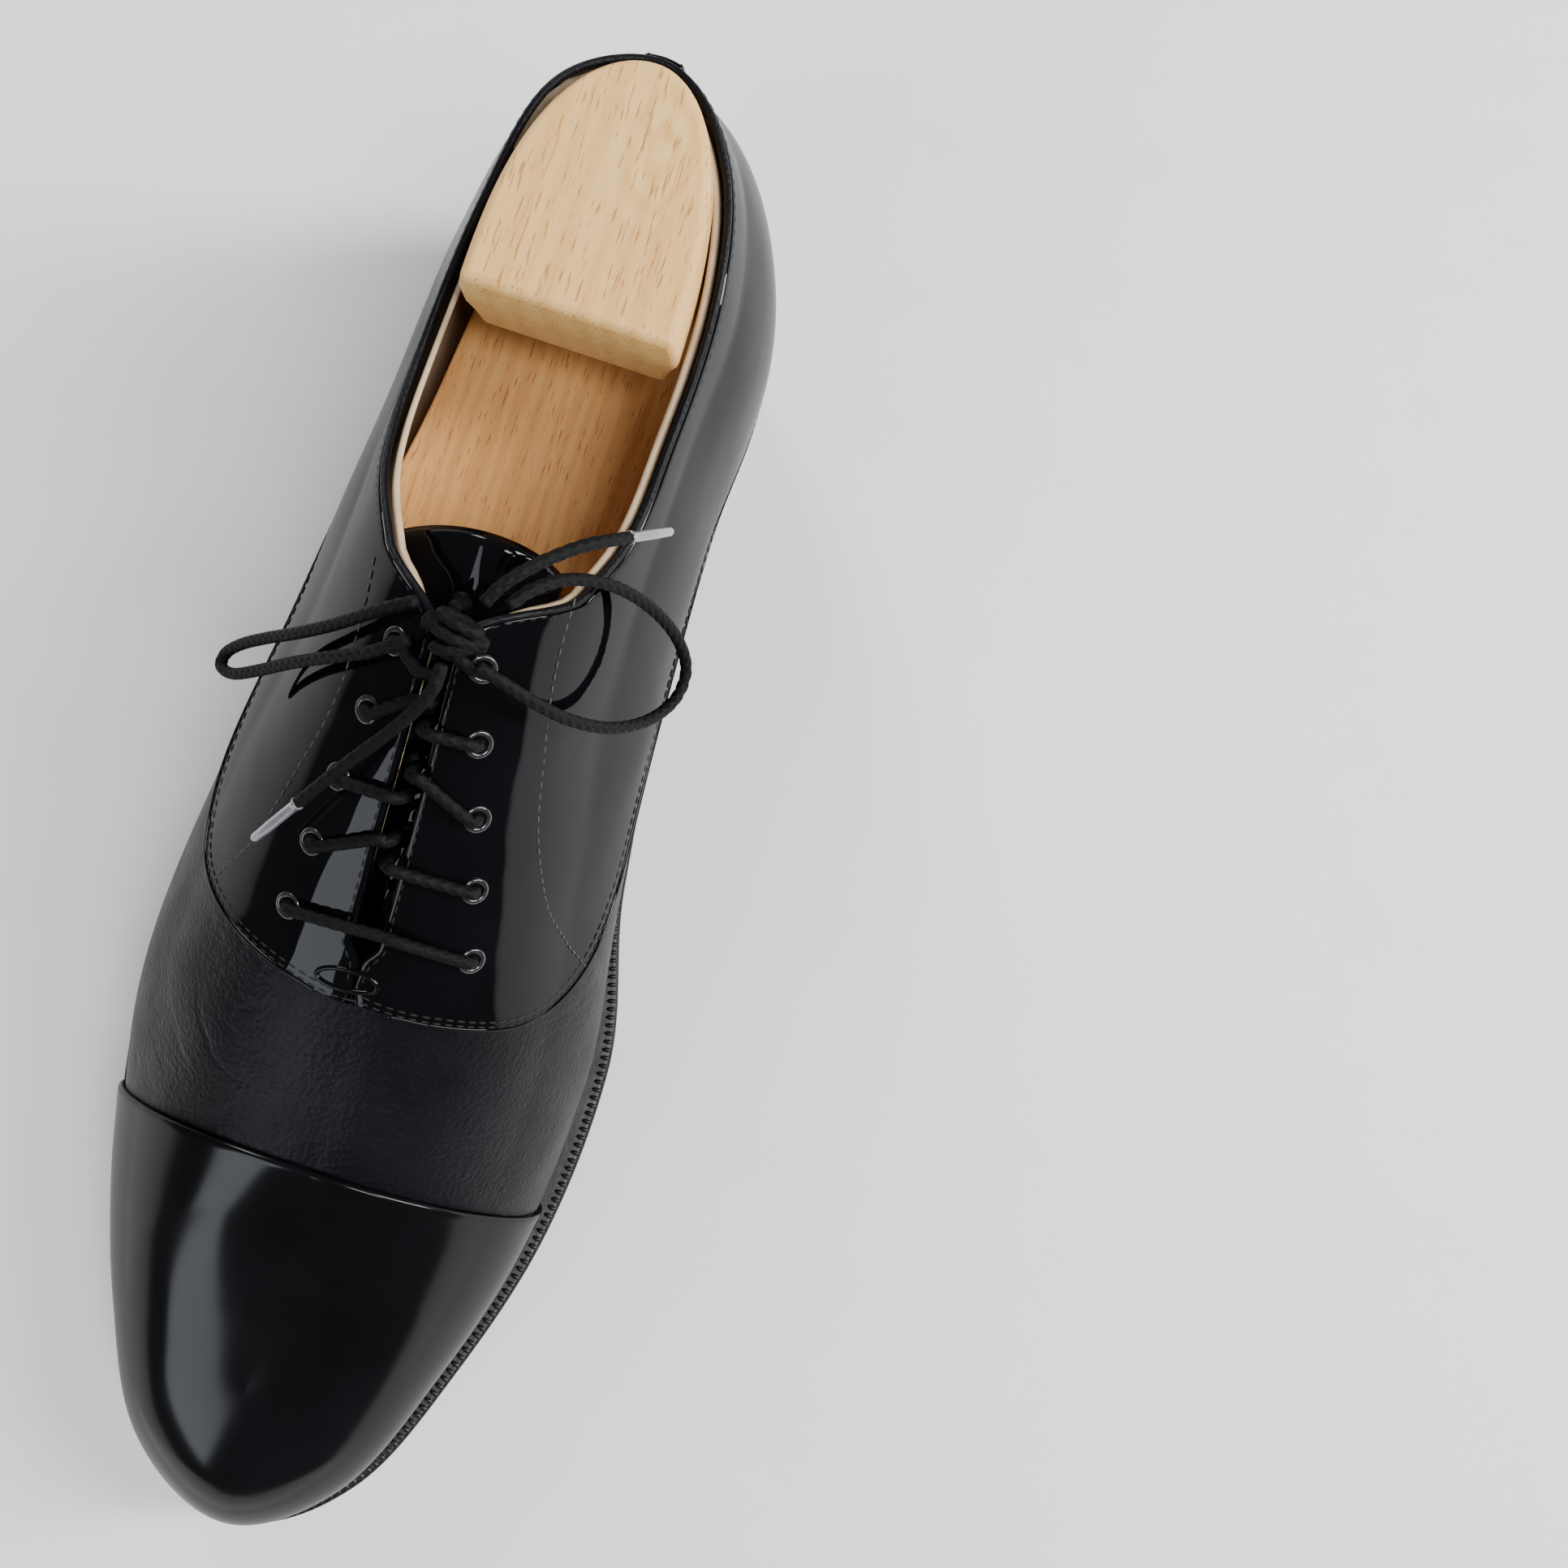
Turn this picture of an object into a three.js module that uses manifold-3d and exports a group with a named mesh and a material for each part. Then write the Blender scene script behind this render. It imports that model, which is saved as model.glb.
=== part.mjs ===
// A right-foot tap shoe of the closed-lacing kind, with a straight toe cap, taps under toe and heel,
// tied laces and a hinged wooden tree inside. Millimetres: +X towards the toe, +Y to the inner side of
// the foot, +Z up. The origin is on the ground, under the middle of the shoe.
import * as THREE from "three";
import { mergeVertices } from "three/addons/utils/BufferGeometryUtils.js";
import Module from "manifold-3d";

const wasm = await Module();
wasm.setup();

// ---- driving dimensions
const lastLength = 291; // upper's outline at its feather edge, heel to toe
const ballWidth = 94; // the same outline, across the joint of the foot
const instepHeight = 122; // last's ridge above the ground at the heel end
const heelHeight = 22; // underside of the outsole at the heel
const foreClearance = 2.5; // underside of the outsole under the ball
const toeSpringSlope = 0.085; // rise of the sole in front of the tread line
const treadX = 60; // where the toe spring starts
const breastX = -78; // front of the heel
const soleThickness = 5;
const weltThickness = 3;
const weltWidthFore = 4.6; // welt and outsole stand out past the upper
const weltWidthWaist = 1.2;
const weltInset = 6; // welt's inner edge, inside the outline
const overThickness = 1.2; // leather that lies on top: cap, quarters
const underThickness = 1.2; // leather below it: vamp, puff, counter, stays
const liningThickness = 1;
const clearance = 0.3; // between pieces that touch
const layerGap = 1.1; // between the curved layers of the upper
const insoleThickness = 2.7;
const sockThickness = 1;
const gapWidth = 3.8; // between the two facings
const capSeam = 0.684; // station of the toe cap's edge on the ridge
const seamLap = 0.024; // how far one leather runs under the next, in stations
const eyeletCount = 5;
const eyeletBore = 1.7; // radius inside
const eyeletWall = 0.35;
const eyeletFlange = 3.1; // radius of the rolled rim
const laceDiameter = 2.3;
const agletDiameter = 1.9;
const agletLength = 13;
const tapThickness = 2.2;
const heelTapThickness = 2.5;
const screwRadius = 1.4;
const screwHead = 3;
const pinRadius = 1.5; // hinge pin of the tree
const pinFit = 0.15; // radial clearance round that pin
const boardThickness = 12;
const boardTop = 60; // top face of the tree's board, above the ground

// ---- last: eleven stations, from the back of the heel to the toe tip
const nominal = { length: 291, width: 94, height: 122 };
const kx = lastLength / nominal.length;
const ky = ballWidth / nominal.width;
const kz = instepHeight / nominal.height;
const stationX = [-146, -135, -108, -72, -34, 4, 42, 78, 110, 134, 145].map((x) => x * kx);
const innerY = [0, 18, 29, 28.5, 30.5, 35, 40, 37.5, 28, 16.5, -2].map((y) => y * ky);
const outerY = [0, -22, -30, -34, -40.5, -50, -54, -48, -36.5, -23, -2].map((y) => y * ky);
const ridgeX = [-112, -104, -90, -62, -30, 4, 37.5, 70, 85.5, 98, 104].map((x) => x * kx);
const ridgeY = [0, 0, 0, -0.5, -1.3, -1, -1.6, -3, -3.9, -4.1, -4.2].map((y) => y * ky);
const ridgeZ = [122, 123.5, 121, 116.5, 107.5, 92.5, 76, 62, 53, 48.5, 47].map((z) => z * kz);
const fullnessAcross = [2.6, 2.65, 2.55, 2.4, 1.95, 2.1, 2.1, 2.05, 2.3, 2.4, 2.4];
const fullnessUp = [2, 2.07, 2, 1.9, 1.8, 1.82, 1.92, 2.07, 2.3, 2.4, 2.4];
const bulge = [4, 4, 3.5, 3, 3, 2, 1.5, 1, 1, 1, 1];

// ---- materials
const finish = (color, roughness, metalness = 0) =>
  new THREE.MeshStandardMaterial({ color, roughness, metalness });
const patent = finish(0x08080a, 0.08);
const polished = finish(0x0a0a0c, 0.15);
const calf = finish(0x151518, 0.42);
const tan = finish(0xc9a57a, 0.6);
const edgeBlack = finish(0x101012, 0.35);
const soleLeather = finish(0x8a6742, 0.6);
const rubber = finish(0x141414, 0.75);
const fibre = finish(0xb79f7d, 0.85);
const cork = finish(0x9a6b3f, 0.9);
const tapMetal = finish(0xc8cacc, 0.3, 1);
const steel = finish(0x9a9c9f, 0.35, 1);
const nickel = finish(0x5c5c60, 0.3, 1);
const laceBlack = finish(0x0c0c0c, 0.8);
const clearPlastic = finish(0xb9bcc0, 0.25);
const paleWood = finish(0xe6c58f, 0.5);
const warmWood = finish(0xd9ab6e, 0.5);

// ---- numbers along the last
const clamp = (v, low, high) => Math.min(high, Math.max(low, v));
const smooth = (v) => {
  const s = clamp(v, 0, 1);
  return s * s * (3 - 2 * s);
};

function catmull(p0, p1, p2, p3, f) {
  const a = 2 * p1 + (p2 - p0) * f;
  const b = (2 * p0 - 5 * p1 + 4 * p2 - p3) * f * f;
  return 0.5 * (a + b + (3 * p1 - p0 - 3 * p2 + p3) * f * f * f);
}

// A value at station t (0 heel, 1 toe), mirrored past both ends so that it is level there.
function along(values, t) {
  const n = values.length - 1;
  const s = clamp(t, 0, 1) * n;
  const i = Math.min(Math.floor(s), n - 1);
  const at = (k) => values[k < 0 ? -k : k > n ? 2 * n - k : k];
  return catmull(at(i - 1), at(i), at(i + 1), at(i + 2), s - i);
}

// A value that goes straight from key to key; keys rise.
function between(keys, values, t) {
  let i = 0;
  while (i < keys.length - 2 && t > keys[i + 1]) i += 1;
  const f = clamp((t - keys[i]) / (keys[i + 1] - keys[i]), 0, 1);
  return values[i] + (values[i + 1] - values[i]) * f;
}

// ---- feather outline: phi 0 is the back of the heel, 0.25 the inner side, 0.5 the toe tip
const outlineX = [...stationX, ...stationX.slice(1, -1).reverse()];
const outlineY = [...innerY, ...outerY.slice(1, -1).reverse()];

function ring(values, phi) {
  const n = values.length;
  const s = (((phi % 1) + 1) % 1) * n;
  const i = Math.floor(s);
  const at = (k) => values[(((i + k) % n) + n) % n];
  return catmull(at(-1), at(0), at(1), at(2), s - i);
}

function outline(phi, out = 0) {
  const e = 1e-4;
  const tx = ring(outlineX, phi + e) - ring(outlineX, phi - e);
  const ty = ring(outlineY, phi + e) - ring(outlineY, phi - e);
  const length = Math.hypot(tx, ty);
  const nx = -ty / length;
  const ny = tx / length;
  return { x: ring(outlineX, phi) + nx * out, y: ring(outlineY, phi) + ny * out, nx, ny };
}

function soleZ(x) {
  const w = smooth((x - breastX * kx) / (30 * kx - breastX * kx));
  const spring = Math.max(0, x - treadX * kx) * toeSpringSlope;
  return heelHeight * (1 - w) + foreClearance * w + spring;
}

const weltZ = (x) => soleZ(x) + soleThickness;
const featherZ = (x) => weltZ(x) + weltThickness + layerGap;
const weltOut = (x) => weltWidthWaist + (weltWidthFore - weltWidthWaist) * smooth(x / 40);

// ---- upper surface: t is the station, a runs from -1 (outer feather) over 0 (ridge) to 1 (inner)
function lastPoint(t, a) {
  if (t > 1) return lastPoint(2 - t, -a);
  if (t < 0) return lastPoint(-t, -a);
  const phi = a >= 0 ? t / 2 : 1 - t / 2;
  const foot = outline(phi);
  const angle = ((1 - Math.min(1, Math.abs(a))) * Math.PI) / 2;
  const inward = 1 - Math.pow(Math.max(0, Math.cos(angle)), 2 / along(fullnessAcross, t));
  const up = Math.pow(Math.sin(angle), 2 / along(fullnessUp, t));
  const swell = along(bulge, t) * Math.sin(Math.PI * clamp(1.6 * up, 0, 1));
  const base = featherZ(foot.x);
  return new THREE.Vector3(
    foot.x + (along(ridgeX, t) - foot.x) * inward + foot.nx * swell,
    foot.y + (along(ridgeY, t) - foot.y) * inward + foot.ny * swell,
    base + (along(ridgeZ, t) - base) * up,
  );
}

function surface(t, a, out) {
  const e = 1e-3;
  const p = lastPoint(t, a);
  if (!out) return p;
  const dt = lastPoint(t + e, a).sub(lastPoint(t - e, a));
  const da = lastPoint(t, Math.min(1, a + e)).sub(lastPoint(t, Math.max(-1, a - e)));
  return p.addScaledVector(dt.cross(da).normalize(), out);
}

// ---- seams and edges, as functions on that surface
const rimStations = [0, 0.06, 0.13, 0.2, 0.27, 0.33, 0.37];
const rimInner = [0.42, 0.44, 0.465, 0.455, 0.478, 0.455, 0.35];
const rimOuter = [0.42, 0.425, 0.44, 0.495, 0.54, 0.45, 0.29];
const rimEnd = 0.403; // station of the top of the gap
const gapCentre = -0.022;
const gapEnd = 0.568;
const seamInnerT = [0.16, 0.28, 0.4, 0.5, 0.548, 0.575, 0.588, 0.592];
const seamInnerA = [1, 0.86, 0.8, 0.735, 0.62, 0.45, 0.2, 0.03];
const seamOuterT = [0.16, 0.28, 0.39, 0.475, 0.53, 0.562, 0.583, 0.592];
const seamOuterA = [1, 0.83, 0.74, 0.66, 0.555, 0.375, 0.17, 0.03];
const capLine = (a) => capSeam + 0.005 * a - 0.011 * a * a;

function gapHalf(t) {
  const side = lastPoint(t, 0.1).sub(lastPoint(t, -0.1)).length() / 0.2;
  return gapWidth / 2 / side;
}

// Upper limit of a quarter at station t: the topline, then the facing edge. side is 1 or -1.
function quarterTop(t, side) {
  const facing = (u) => side * gapCentre + gapHalf(u);
  const rim = side > 0 ? rimInner : rimOuter;
  const last = rim.length - 1;
  if (t <= rimStations[last]) {
    const s = between(rimStations, rimStations.map((_, i) => i / last), t);
    return along(rim, s);
  }
  if (t >= rimEnd) return facing(t);
  const f = (t - rimStations[last]) / (rimEnd - rimStations[last]);
  return rim[last] * (1 - f) + facing(rimEnd) * f;
}

const seamA = (t, side) =>
  side > 0 ? between(seamInnerT, seamInnerA, t) : between(seamOuterT, seamOuterA, t);
const seamT = (a) => {
  const [ts, as] = a >= 0 ? [seamInnerT, seamInnerA] : [seamOuterT, seamOuterA];
  return between([...as].reverse(), [...ts].reverse(), Math.abs(a));
};

// ---- closed bodies
function closed(positions, index) {
  let g = new THREE.BufferGeometry();
  g.setAttribute("position", new THREE.Float32BufferAttribute(positions, 3));
  if (index) g.setIndex(index);
  g = mergeVertices(g, 2e-3);
  const kept = [];
  for (let i = 0; i < g.index.count; i += 3) {
    const [p, q, r] = [0, 1, 2].map((k) => g.index.getX(i + k));
    if (p !== q && q !== r && r !== p) kept.push(p, q, r);
  }
  g.setIndex(kept);
  if (volume(g) < 0) {
    for (let i = 0; i < kept.length; i += 3) [kept[i + 1], kept[i + 2]] = [kept[i + 2], kept[i + 1]];
    g.setIndex(kept);
  }
  return g;
}

function volume(g) {
  const p = g.attributes.position;
  const [a, b, c] = [new THREE.Vector3(), new THREE.Vector3(), new THREE.Vector3()];
  let sum = 0;
  for (let i = 0; i < g.index.count; i += 3) {
    a.fromBufferAttribute(p, g.index.getX(i));
    b.fromBufferAttribute(p, g.index.getX(i + 1));
    c.fromBufferAttribute(p, g.index.getX(i + 2));
    sum += a.dot(b.cross(c)) / 6;
  }
  return sum;
}

// A sheet with thickness: face(u, v, k) gives its outer (k = 1) and inner (k = 0) skin.
// folded leaves the wall at the last u open, where the skin meets itself round the toe.
function sheet(us, vs, face, { folded = false } = {}) {
  const positions = [];
  const index = [];
  const nu = us.length;
  const nv = vs.length;
  for (const k of [1, 0])
    for (const u of us) for (const v of vs) positions.push(...face(u, v, k).toArray());
  const id = (i, j, k) => (k ? 0 : nu * nv) + i * nv + j;
  const quad = (p, q, r, s) => index.push(p, q, r, p, r, s);
  for (let i = 0; i < nu - 1; i += 1)
    for (let j = 0; j < nv - 1; j += 1) {
      quad(id(i, j, 1), id(i + 1, j, 1), id(i + 1, j + 1, 1), id(i, j + 1, 1));
      quad(id(i, j, 0), id(i, j + 1, 0), id(i + 1, j + 1, 0), id(i + 1, j, 0));
    }
  for (let i = 0; i < nu - 1; i += 1) {
    quad(id(i, 0, 1), id(i, 0, 0), id(i + 1, 0, 0), id(i + 1, 0, 1));
    quad(id(i, nv - 1, 1), id(i + 1, nv - 1, 1), id(i + 1, nv - 1, 0), id(i, nv - 1, 0));
  }
  for (let j = 0; j < nv - 1; j += 1) {
    quad(id(0, j, 1), id(0, j + 1, 1), id(0, j + 1, 0), id(0, j, 0));
    if (!folded)
      quad(id(nu - 1, j, 1), id(nu - 1, j, 0), id(nu - 1, j + 1, 0), id(nu - 1, j + 1, 1));
  }
  return closed(positions, index);
}

// A solid through a stack of closed polygons with the same number of corners.
function loft(rings) {
  const n = rings[0].length;
  const positions = rings.flat().flatMap((p) => p.toArray());
  const index = [];
  for (let k = 0; k < rings.length - 1; k += 1)
    for (let i = 0; i < n; i += 1) {
      const j = (i + 1) % n;
      index.push(k * n + i, k * n + j, (k + 1) * n + j, k * n + i, (k + 1) * n + j, (k + 1) * n + i);
    }
  for (const k of [0, rings.length - 1]) {
    const centre = rings[k].reduce((s, p) => s.add(p), new THREE.Vector3()).divideScalar(n);
    const c = positions.length / 3;
    positions.push(...centre.toArray());
    for (let i = 0; i < n; i += 1) {
      const j = (i + 1) % n;
      if (k === 0) index.push(c, k * n + j, k * n + i);
      else index.push(c, k * n + i, k * n + j);
    }
  }
  return closed(positions, index);
}

const steps = (from, to, count) =>
  Array.from({ length: count + 1 }, (_, i) => from + ((to - from) * i) / count);

// A plate between two heights, cut to the outline moved out by edge(x).
function plate(ts, across, edge, low, high) {
  const at = (phi) => {
    const p = outline(phi);
    return outline(phi, edge(p.x));
  };
  return sheet(ts, steps(0, 1, across), (t, s, k) => {
    const inner = at(t / 2);
    const outer = at(1 - t / 2);
    const x = outer.x + (inner.x - outer.x) * s;
    const y = outer.y + (inner.y - outer.y) * s;
    return new THREE.Vector3(x, y, k ? high(x) : low(x));
  });
}

function tube(points, radius, count, sides = 8) {
  const section = new THREE.Shape();
  for (let i = 0; i < sides; i += 1) {
    const angle = (2 * Math.PI * (i + 0.5)) / sides;
    const [x, y] = [radius * Math.cos(angle), radius * Math.sin(angle)];
    if (i) section.lineTo(x, y);
    else section.moveTo(x, y);
  }
  section.closePath();
  const path = new THREE.CatmullRomCurve3(points, false, "centripetal");
  const g = new THREE.ExtrudeGeometry(section, { steps: count, extrudePath: path, bevelEnabled: false });
  return closed(g.attributes.position.array, null);
}

function turned(profile, segments) {
  const g = new THREE.LatheGeometry(profile.map(([r, z]) => new THREE.Vector2(r, z)), segments);
  g.rotateX(Math.PI / 2); // the lathe's axis becomes Z
  return closed(g.attributes.position.array, Array.from(g.index.array));
}

function box(x0, x1, y0, y1, z0, z1) {
  const g = new THREE.BoxGeometry(x1 - x0, y1 - y0, z1 - z0);
  g.translate((x0 + x1) / 2, (y0 + y1) / 2, (z0 + z1) / 2);
  return closed(g.attributes.position.array, Array.from(g.index.array));
}

function rod(radius, length, segments = 14) {
  const half = length / 2;
  return turned([[0, -half], [radius, -half], [radius, half], [0, half]], segments);
}

function solidOf(g) {
  const mesh = new wasm.Mesh({
    numProp: 3,
    vertProperties: new Float32Array(g.attributes.position.array),
    triVerts: new Uint32Array(g.index.array),
  });
  return new wasm.Manifold(mesh);
}

function combine(base, others, how) {
  const made = others.reduce((solid, g) => solid[how](solidOf(g)), solidOf(base));
  const mesh = made.getMesh();
  const positions = [];
  for (let i = 0; i < mesh.numVert; i += 1)
    for (let k = 0; k < 3; k += 1) positions.push(mesh.vertProperties[i * mesh.numProp + k]);
  return closed(positions, Array.from(mesh.triVerts));
}

const cut = (base, ...tools) => combine(base, tools, "subtract");
const join = (base, ...others) => combine(base, others, "add");

// ---- the object
const shoe = new THREE.Group();

function add(name, geometry, material) {
  const mesh = new THREE.Mesh(geometry, material);
  mesh.name = name;
  shoe.add(mesh);
  return mesh;
}

// ---- bottom: sole, welt, fillers, heel, taps
const fullLength = [0, 0.02, 0.05, ...steps(0.1, 0.9, 20), 0.95, 0.98, 1];
const toeSlope = (x, drop) => soleZ(x) - drop;

function screwsOf(prefix, spots, slope, seatZ, length) {
  return spots.map(([x, y], i) => {
    const place = (g) => {
      g.rotateY(-Math.atan(slope));
      g.translate(x, y, seatZ(x));
      return g;
    };
    const profile = (grow) => [
      [0, -grow],
      [screwHead + grow, -grow],
      [screwRadius + grow, screwHead - screwRadius],
      [screwRadius + grow, length - 2 + grow],
      [0, length + grow],
    ];
    return {
      name: `${prefix}_${i + 1}`,
      body: place(turned(profile(0), 12)),
      hole: place(turned(profile(clearance), 12)),
    };
  });
}

const toeTapBack = (s) => 0.715 + 0.02 * (1 - (2 * s - 1) ** 2);
const toeScrews = screwsOf(
  "toe_tap_screw",
  [[94, 18], [92, -27], [128, -3]].map(([x, y]) => [x * kx, y * ky]),
  toeSpringSlope,
  (x) => soleZ(x) - tapThickness - clearance,
  5.6,
);
const heelScrews = screwsOf(
  "heel_tap_screw",
  [[-100, 15], [-100, -16], [-130, 0]].map(([x, y]) => [x * kx, y * ky]),
  0,
  () => 0,
  7,
);

const soleBody = plate(fullLength, 4, weltOut, soleZ, (x) => weltZ(x) - layerGap);
add("outsole", cut(soleBody, ...toeScrews.map((s) => s.hole)), edgeBlack);

function weltRing(phis) {
  return sheet(phis, [0, 1], (phi, s, k) => {
    const p = outline(phi, s ? weltOut(outline(phi).x) : -weltInset);
    return new THREE.Vector3(p.x, p.y, weltZ(p.x) + (k ? weltThickness : 0));
  });
}

const weltStart = 0.35; // station where the welt ends and the heel's rand begins
const innerPhi = fullLength.filter((t) => t > weltStart).map((t) => t / 2);
const outerPhi = innerPhi.slice(0, -1).map((phi) => 1 - phi).reverse();
add("welt", weltRing([weltStart / 2, ...innerPhi, ...outerPhi, 1 - weltStart / 2]), edgeBlack);
const randStart = (weltStart - 0.003) / 2;
const randPhi = fullLength.filter((t) => t > 0 && t < weltStart).map((t) => t / 2);
const randBack = [...randPhi].reverse().map((phi) => -phi);
add("heel_rand", weltRing([-randStart, ...randBack, 0, ...randPhi, randStart]), edgeBlack);

const shankX = [-98 * kx, 14 * kx];
function shankStrip(grow) {
  const xs = steps(shankX[0] - grow, shankX[1] + grow, 10);
  const half = 6 + grow;
  return sheet(xs, [-half, half], (x, y, k) => {
    const z = weltZ(x) + (k ? 2.1 + grow : 0.6 - grow);
    return new THREE.Vector3(x, y, z);
  });
}

const fillerEdge = () => -weltInset - clearance;
const filler = plate(fullLength, 2, fillerEdge, weltZ, (x) => weltZ(x) + weltThickness);
const slot = shankStrip(clearance);
const slotMouth = slot.clone().translate(0, 0, weltThickness / 2);
add("cork_filler", cut(filler, slot, slotMouth), cork);
add("shank", shankStrip(0), steel);

const liningDepth = underThickness + 1.3 * layerGap + liningThickness; // lining's inner face
const insoleEdge = () => -liningDepth - 1.4 * layerGap;
const insoleTop = (x) => featherZ(x) + insoleThickness;
add("insole", plate(fullLength, 2, insoleEdge, featherZ, insoleTop), fibre);
const sockTop = (x) => insoleTop(x) + clearance + sockThickness;
add(
  "sock_liner",
  plate(fullLength, 2, () => insoleEdge() - 0.4, (x) => insoleTop(x) + clearance, sockTop),
  tan,
);

const heelEnd = 0.283; // station of the heel's front
const heelTapEnd = 0.25;
const heelStations = [0, 0.01, 0.025, 0.05, ...steps(0.08, heelEnd, 6)];
const liftGap = clearance;
const stackHeight = heelHeight - heelTapThickness - liftGap;
const layers = [
  { name: "heel_top_piece", share: 0.3, material: rubber },
  { name: "heel_lift_2", share: 0.35, material: edgeBlack },
  { name: "heel_lift_1", share: 0.35, material: edgeBlack },
];
let layerZ = heelTapThickness + liftGap;
layers.forEach((layer, i) => {
  const bottom = layerZ;
  const top = bottom + stackHeight * layer.share - liftGap;
  const taper = (z) => weltWidthWaist - 0.9 + (1.2 * z) / heelHeight;
  const body = sheet(heelStations, steps(0, 1, 3), (t, s, k) => {
    const z = k ? top : bottom;
    const inner = outline(t / 2, taper(z));
    const outer = outline(1 - t / 2, taper(z));
    const x = outer.x + (inner.x - outer.x) * s;
    const curved = t === heelEnd ? -4 * 4 * s * (1 - s) : 0;
    return new THREE.Vector3(x + curved * kx, outer.y + (inner.y - outer.y) * s, z);
  });
  const holes = i === 0 ? heelScrews.map((s) => s.hole) : [];
  add(layer.name, holes.length ? cut(body, ...holes) : body, layer.material);
  layerZ = top + liftGap;
});

const tapStations = [0, 0.01, 0.025, 0.05, ...steps(0.08, heelTapEnd, 5)];
const heelTap = sheet(tapStations, steps(0, 1, 3), (t, s, k) => {
  const inner = outline(t / 2, -0.6);
  const outer = outline(1 - t / 2, -0.6);
  const x = outer.x + (inner.x - outer.x) * s;
  return new THREE.Vector3(x, outer.y + (inner.y - outer.y) * s, k ? heelTapThickness : 0);
});
add("heel_tap", cut(heelTap, ...heelScrews.map((s) => s.hole)), tapMetal);

const toeTap = sheet([0, ...steps(0.12, 0.9, 8), 0.97, 1], steps(0, 1, 4), (u, s, k) => {
  const t = toeTapBack(s) + (1 - toeTapBack(s)) * u;
  const inner = outline(t / 2, 1.6);
  const outer = outline(1 - t / 2, 1.6);
  const x = outer.x + (inner.x - outer.x) * s;
  const drop = k ? clearance : clearance + tapThickness;
  return new THREE.Vector3(x, outer.y + (inner.y - outer.y) * s, toeSlope(x, drop));
});
add("toe_tap", cut(toeTap, ...toeScrews.map((s) => s.hole)), tapMetal);
for (const s of [...toeScrews, ...heelScrews]) add(s.name, s.body, steel);

const padStations = steps(0.56, 0.7, 6);
const padTop = (x) => soleZ(x) - clearance;
add("ball_pad", plate(padStations, 3, () => 1.6, () => 0, padTop), rubber);

// ---- upper
const outAt = (k, low, thickness) => (k ? low + thickness : low);
const skin = (t, a, k, low, thickness) => surface(t, a, outAt(k, low, thickness));
const fan = [-1, -0.92, -0.84, -0.75, -0.65, -0.53, -0.4, -0.26, -0.12];
const acrossLast = [...fan, 0, ...[...fan].reverse().map((a) => -a)];

// Rows over the toe: the first follows the edge of the piece, the rest are stations of the last.
const toeRows = [0, 0.76, 0.81, 0.86, 0.9, 0.94, 0.97, 0.988, 1];
const toeStation = (u, a, start) => u || start(a);
add(
  "toe_cap",
  sheet(
    toeRows,
    acrossLast,
    (u, a, k) => skin(toeStation(u, a, capLine), a, k, layerGap, overThickness),
    { folded: true },
  ),
  polished,
);
const puffLine = (a) => capLine(a) + seamLap + 0.004;
add(
  "toe_puff",
  sheet(
    toeRows,
    acrossLast,
    (u, a, k) => skin(toeStation(u, a, puffLine), a, k, -underThickness, underThickness),
    { folded: true },
  ),
  fibre,
);

const underSeam = (a) => Math.max(0.165, seamT(a) - seamLap);
const vampBody = sheet(steps(0, 1, 11), acrossLast, (u, a, k) => {
  const t = underSeam(a) + (capLine(a) + seamLap - underSeam(a)) * u;
  return skin(t, a, k, -underThickness, underThickness);
});

// Eyelets, in rows that open out towards the toe
const eyelets = [];
for (let i = 0; i < eyeletCount; i += 1) {
  const f = i / (eyeletCount - 1);
  const t = 0.415 + 0.135 * f;
  eyelets.push({ side: "medial", i, t, a: gapCentre + 0.125 + 0.14 * f });
  eyelets.push({ side: "lateral", i, t, a: gapCentre - 0.13 - 0.045 * f });
}

function placeOnSurface(geometry, t, a) {
  const foot = surface(t, a, 0);
  const normal = surface(t, a, 1).sub(foot);
  const turn = new THREE.Quaternion().setFromUnitVectors(new THREE.Vector3(0, 0, 1), normal);
  geometry.applyQuaternion(turn);
  geometry.translate(foot.x, foot.y, foot.z);
  return geometry;
}

const barrel = eyeletBore + eyeletWall;
const boreTool = (e) => placeOnSurface(rod(barrel + clearance, 16, 9), e.t, e.a);
const holesOn = (side) => eyelets.filter((e) => e.side === side).map(boreTool);

const lowest = eyelets.filter((e) => e.i === eyeletCount - 1);
add("vamp", cut(vampBody, ...lowest.map(boreTool)), calf);

const quarterEnd = 0.588;
const quarterStations = [
  0.0012, 0.02, 0.05, 0.09, 0.13, 0.165, 0.2, 0.24, 0.28, 0.32, 0.35, 0.37, 0.387,
  rimEnd, 0.42, 0.44, 0.465, 0.49, 0.515, 0.54, 0.56, 0.575, quarterEnd,
];
for (const [name, side] of [["medial", 1], ["lateral", -1]]) {
  const body = sheet(quarterStations, steps(0, 1, 6), (t, v, k) => {
    const top = quarterTop(t, side);
    const a = top + (seamA(t, side) - top) * v;
    return skin(t, side * a, k, layerGap, overThickness);
  });
  add(`quarter_${name}`, cut(body, ...holesOn(name)), patent);

  const stayTop = (t) => quarterTop(t, side) + 0.004;
  const stay = sheet(steps(0.41, 0.552, 7), steps(0, 1, 3), (t, v, k) => {
    const low = Math.min(stayTop(t) + 0.26, seamA(Math.min(t + seamLap + 0.012, 0.59), side) - 0.02);
    const a = stayTop(t) + (Math.max(low, stayTop(t) + 0.02) - stayTop(t)) * v;
    return skin(t, side * a, k, -underThickness, underThickness);
  });
  add(`facing_stay_${name}`, cut(stay, ...holesOn(name)), fibre);
}

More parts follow.
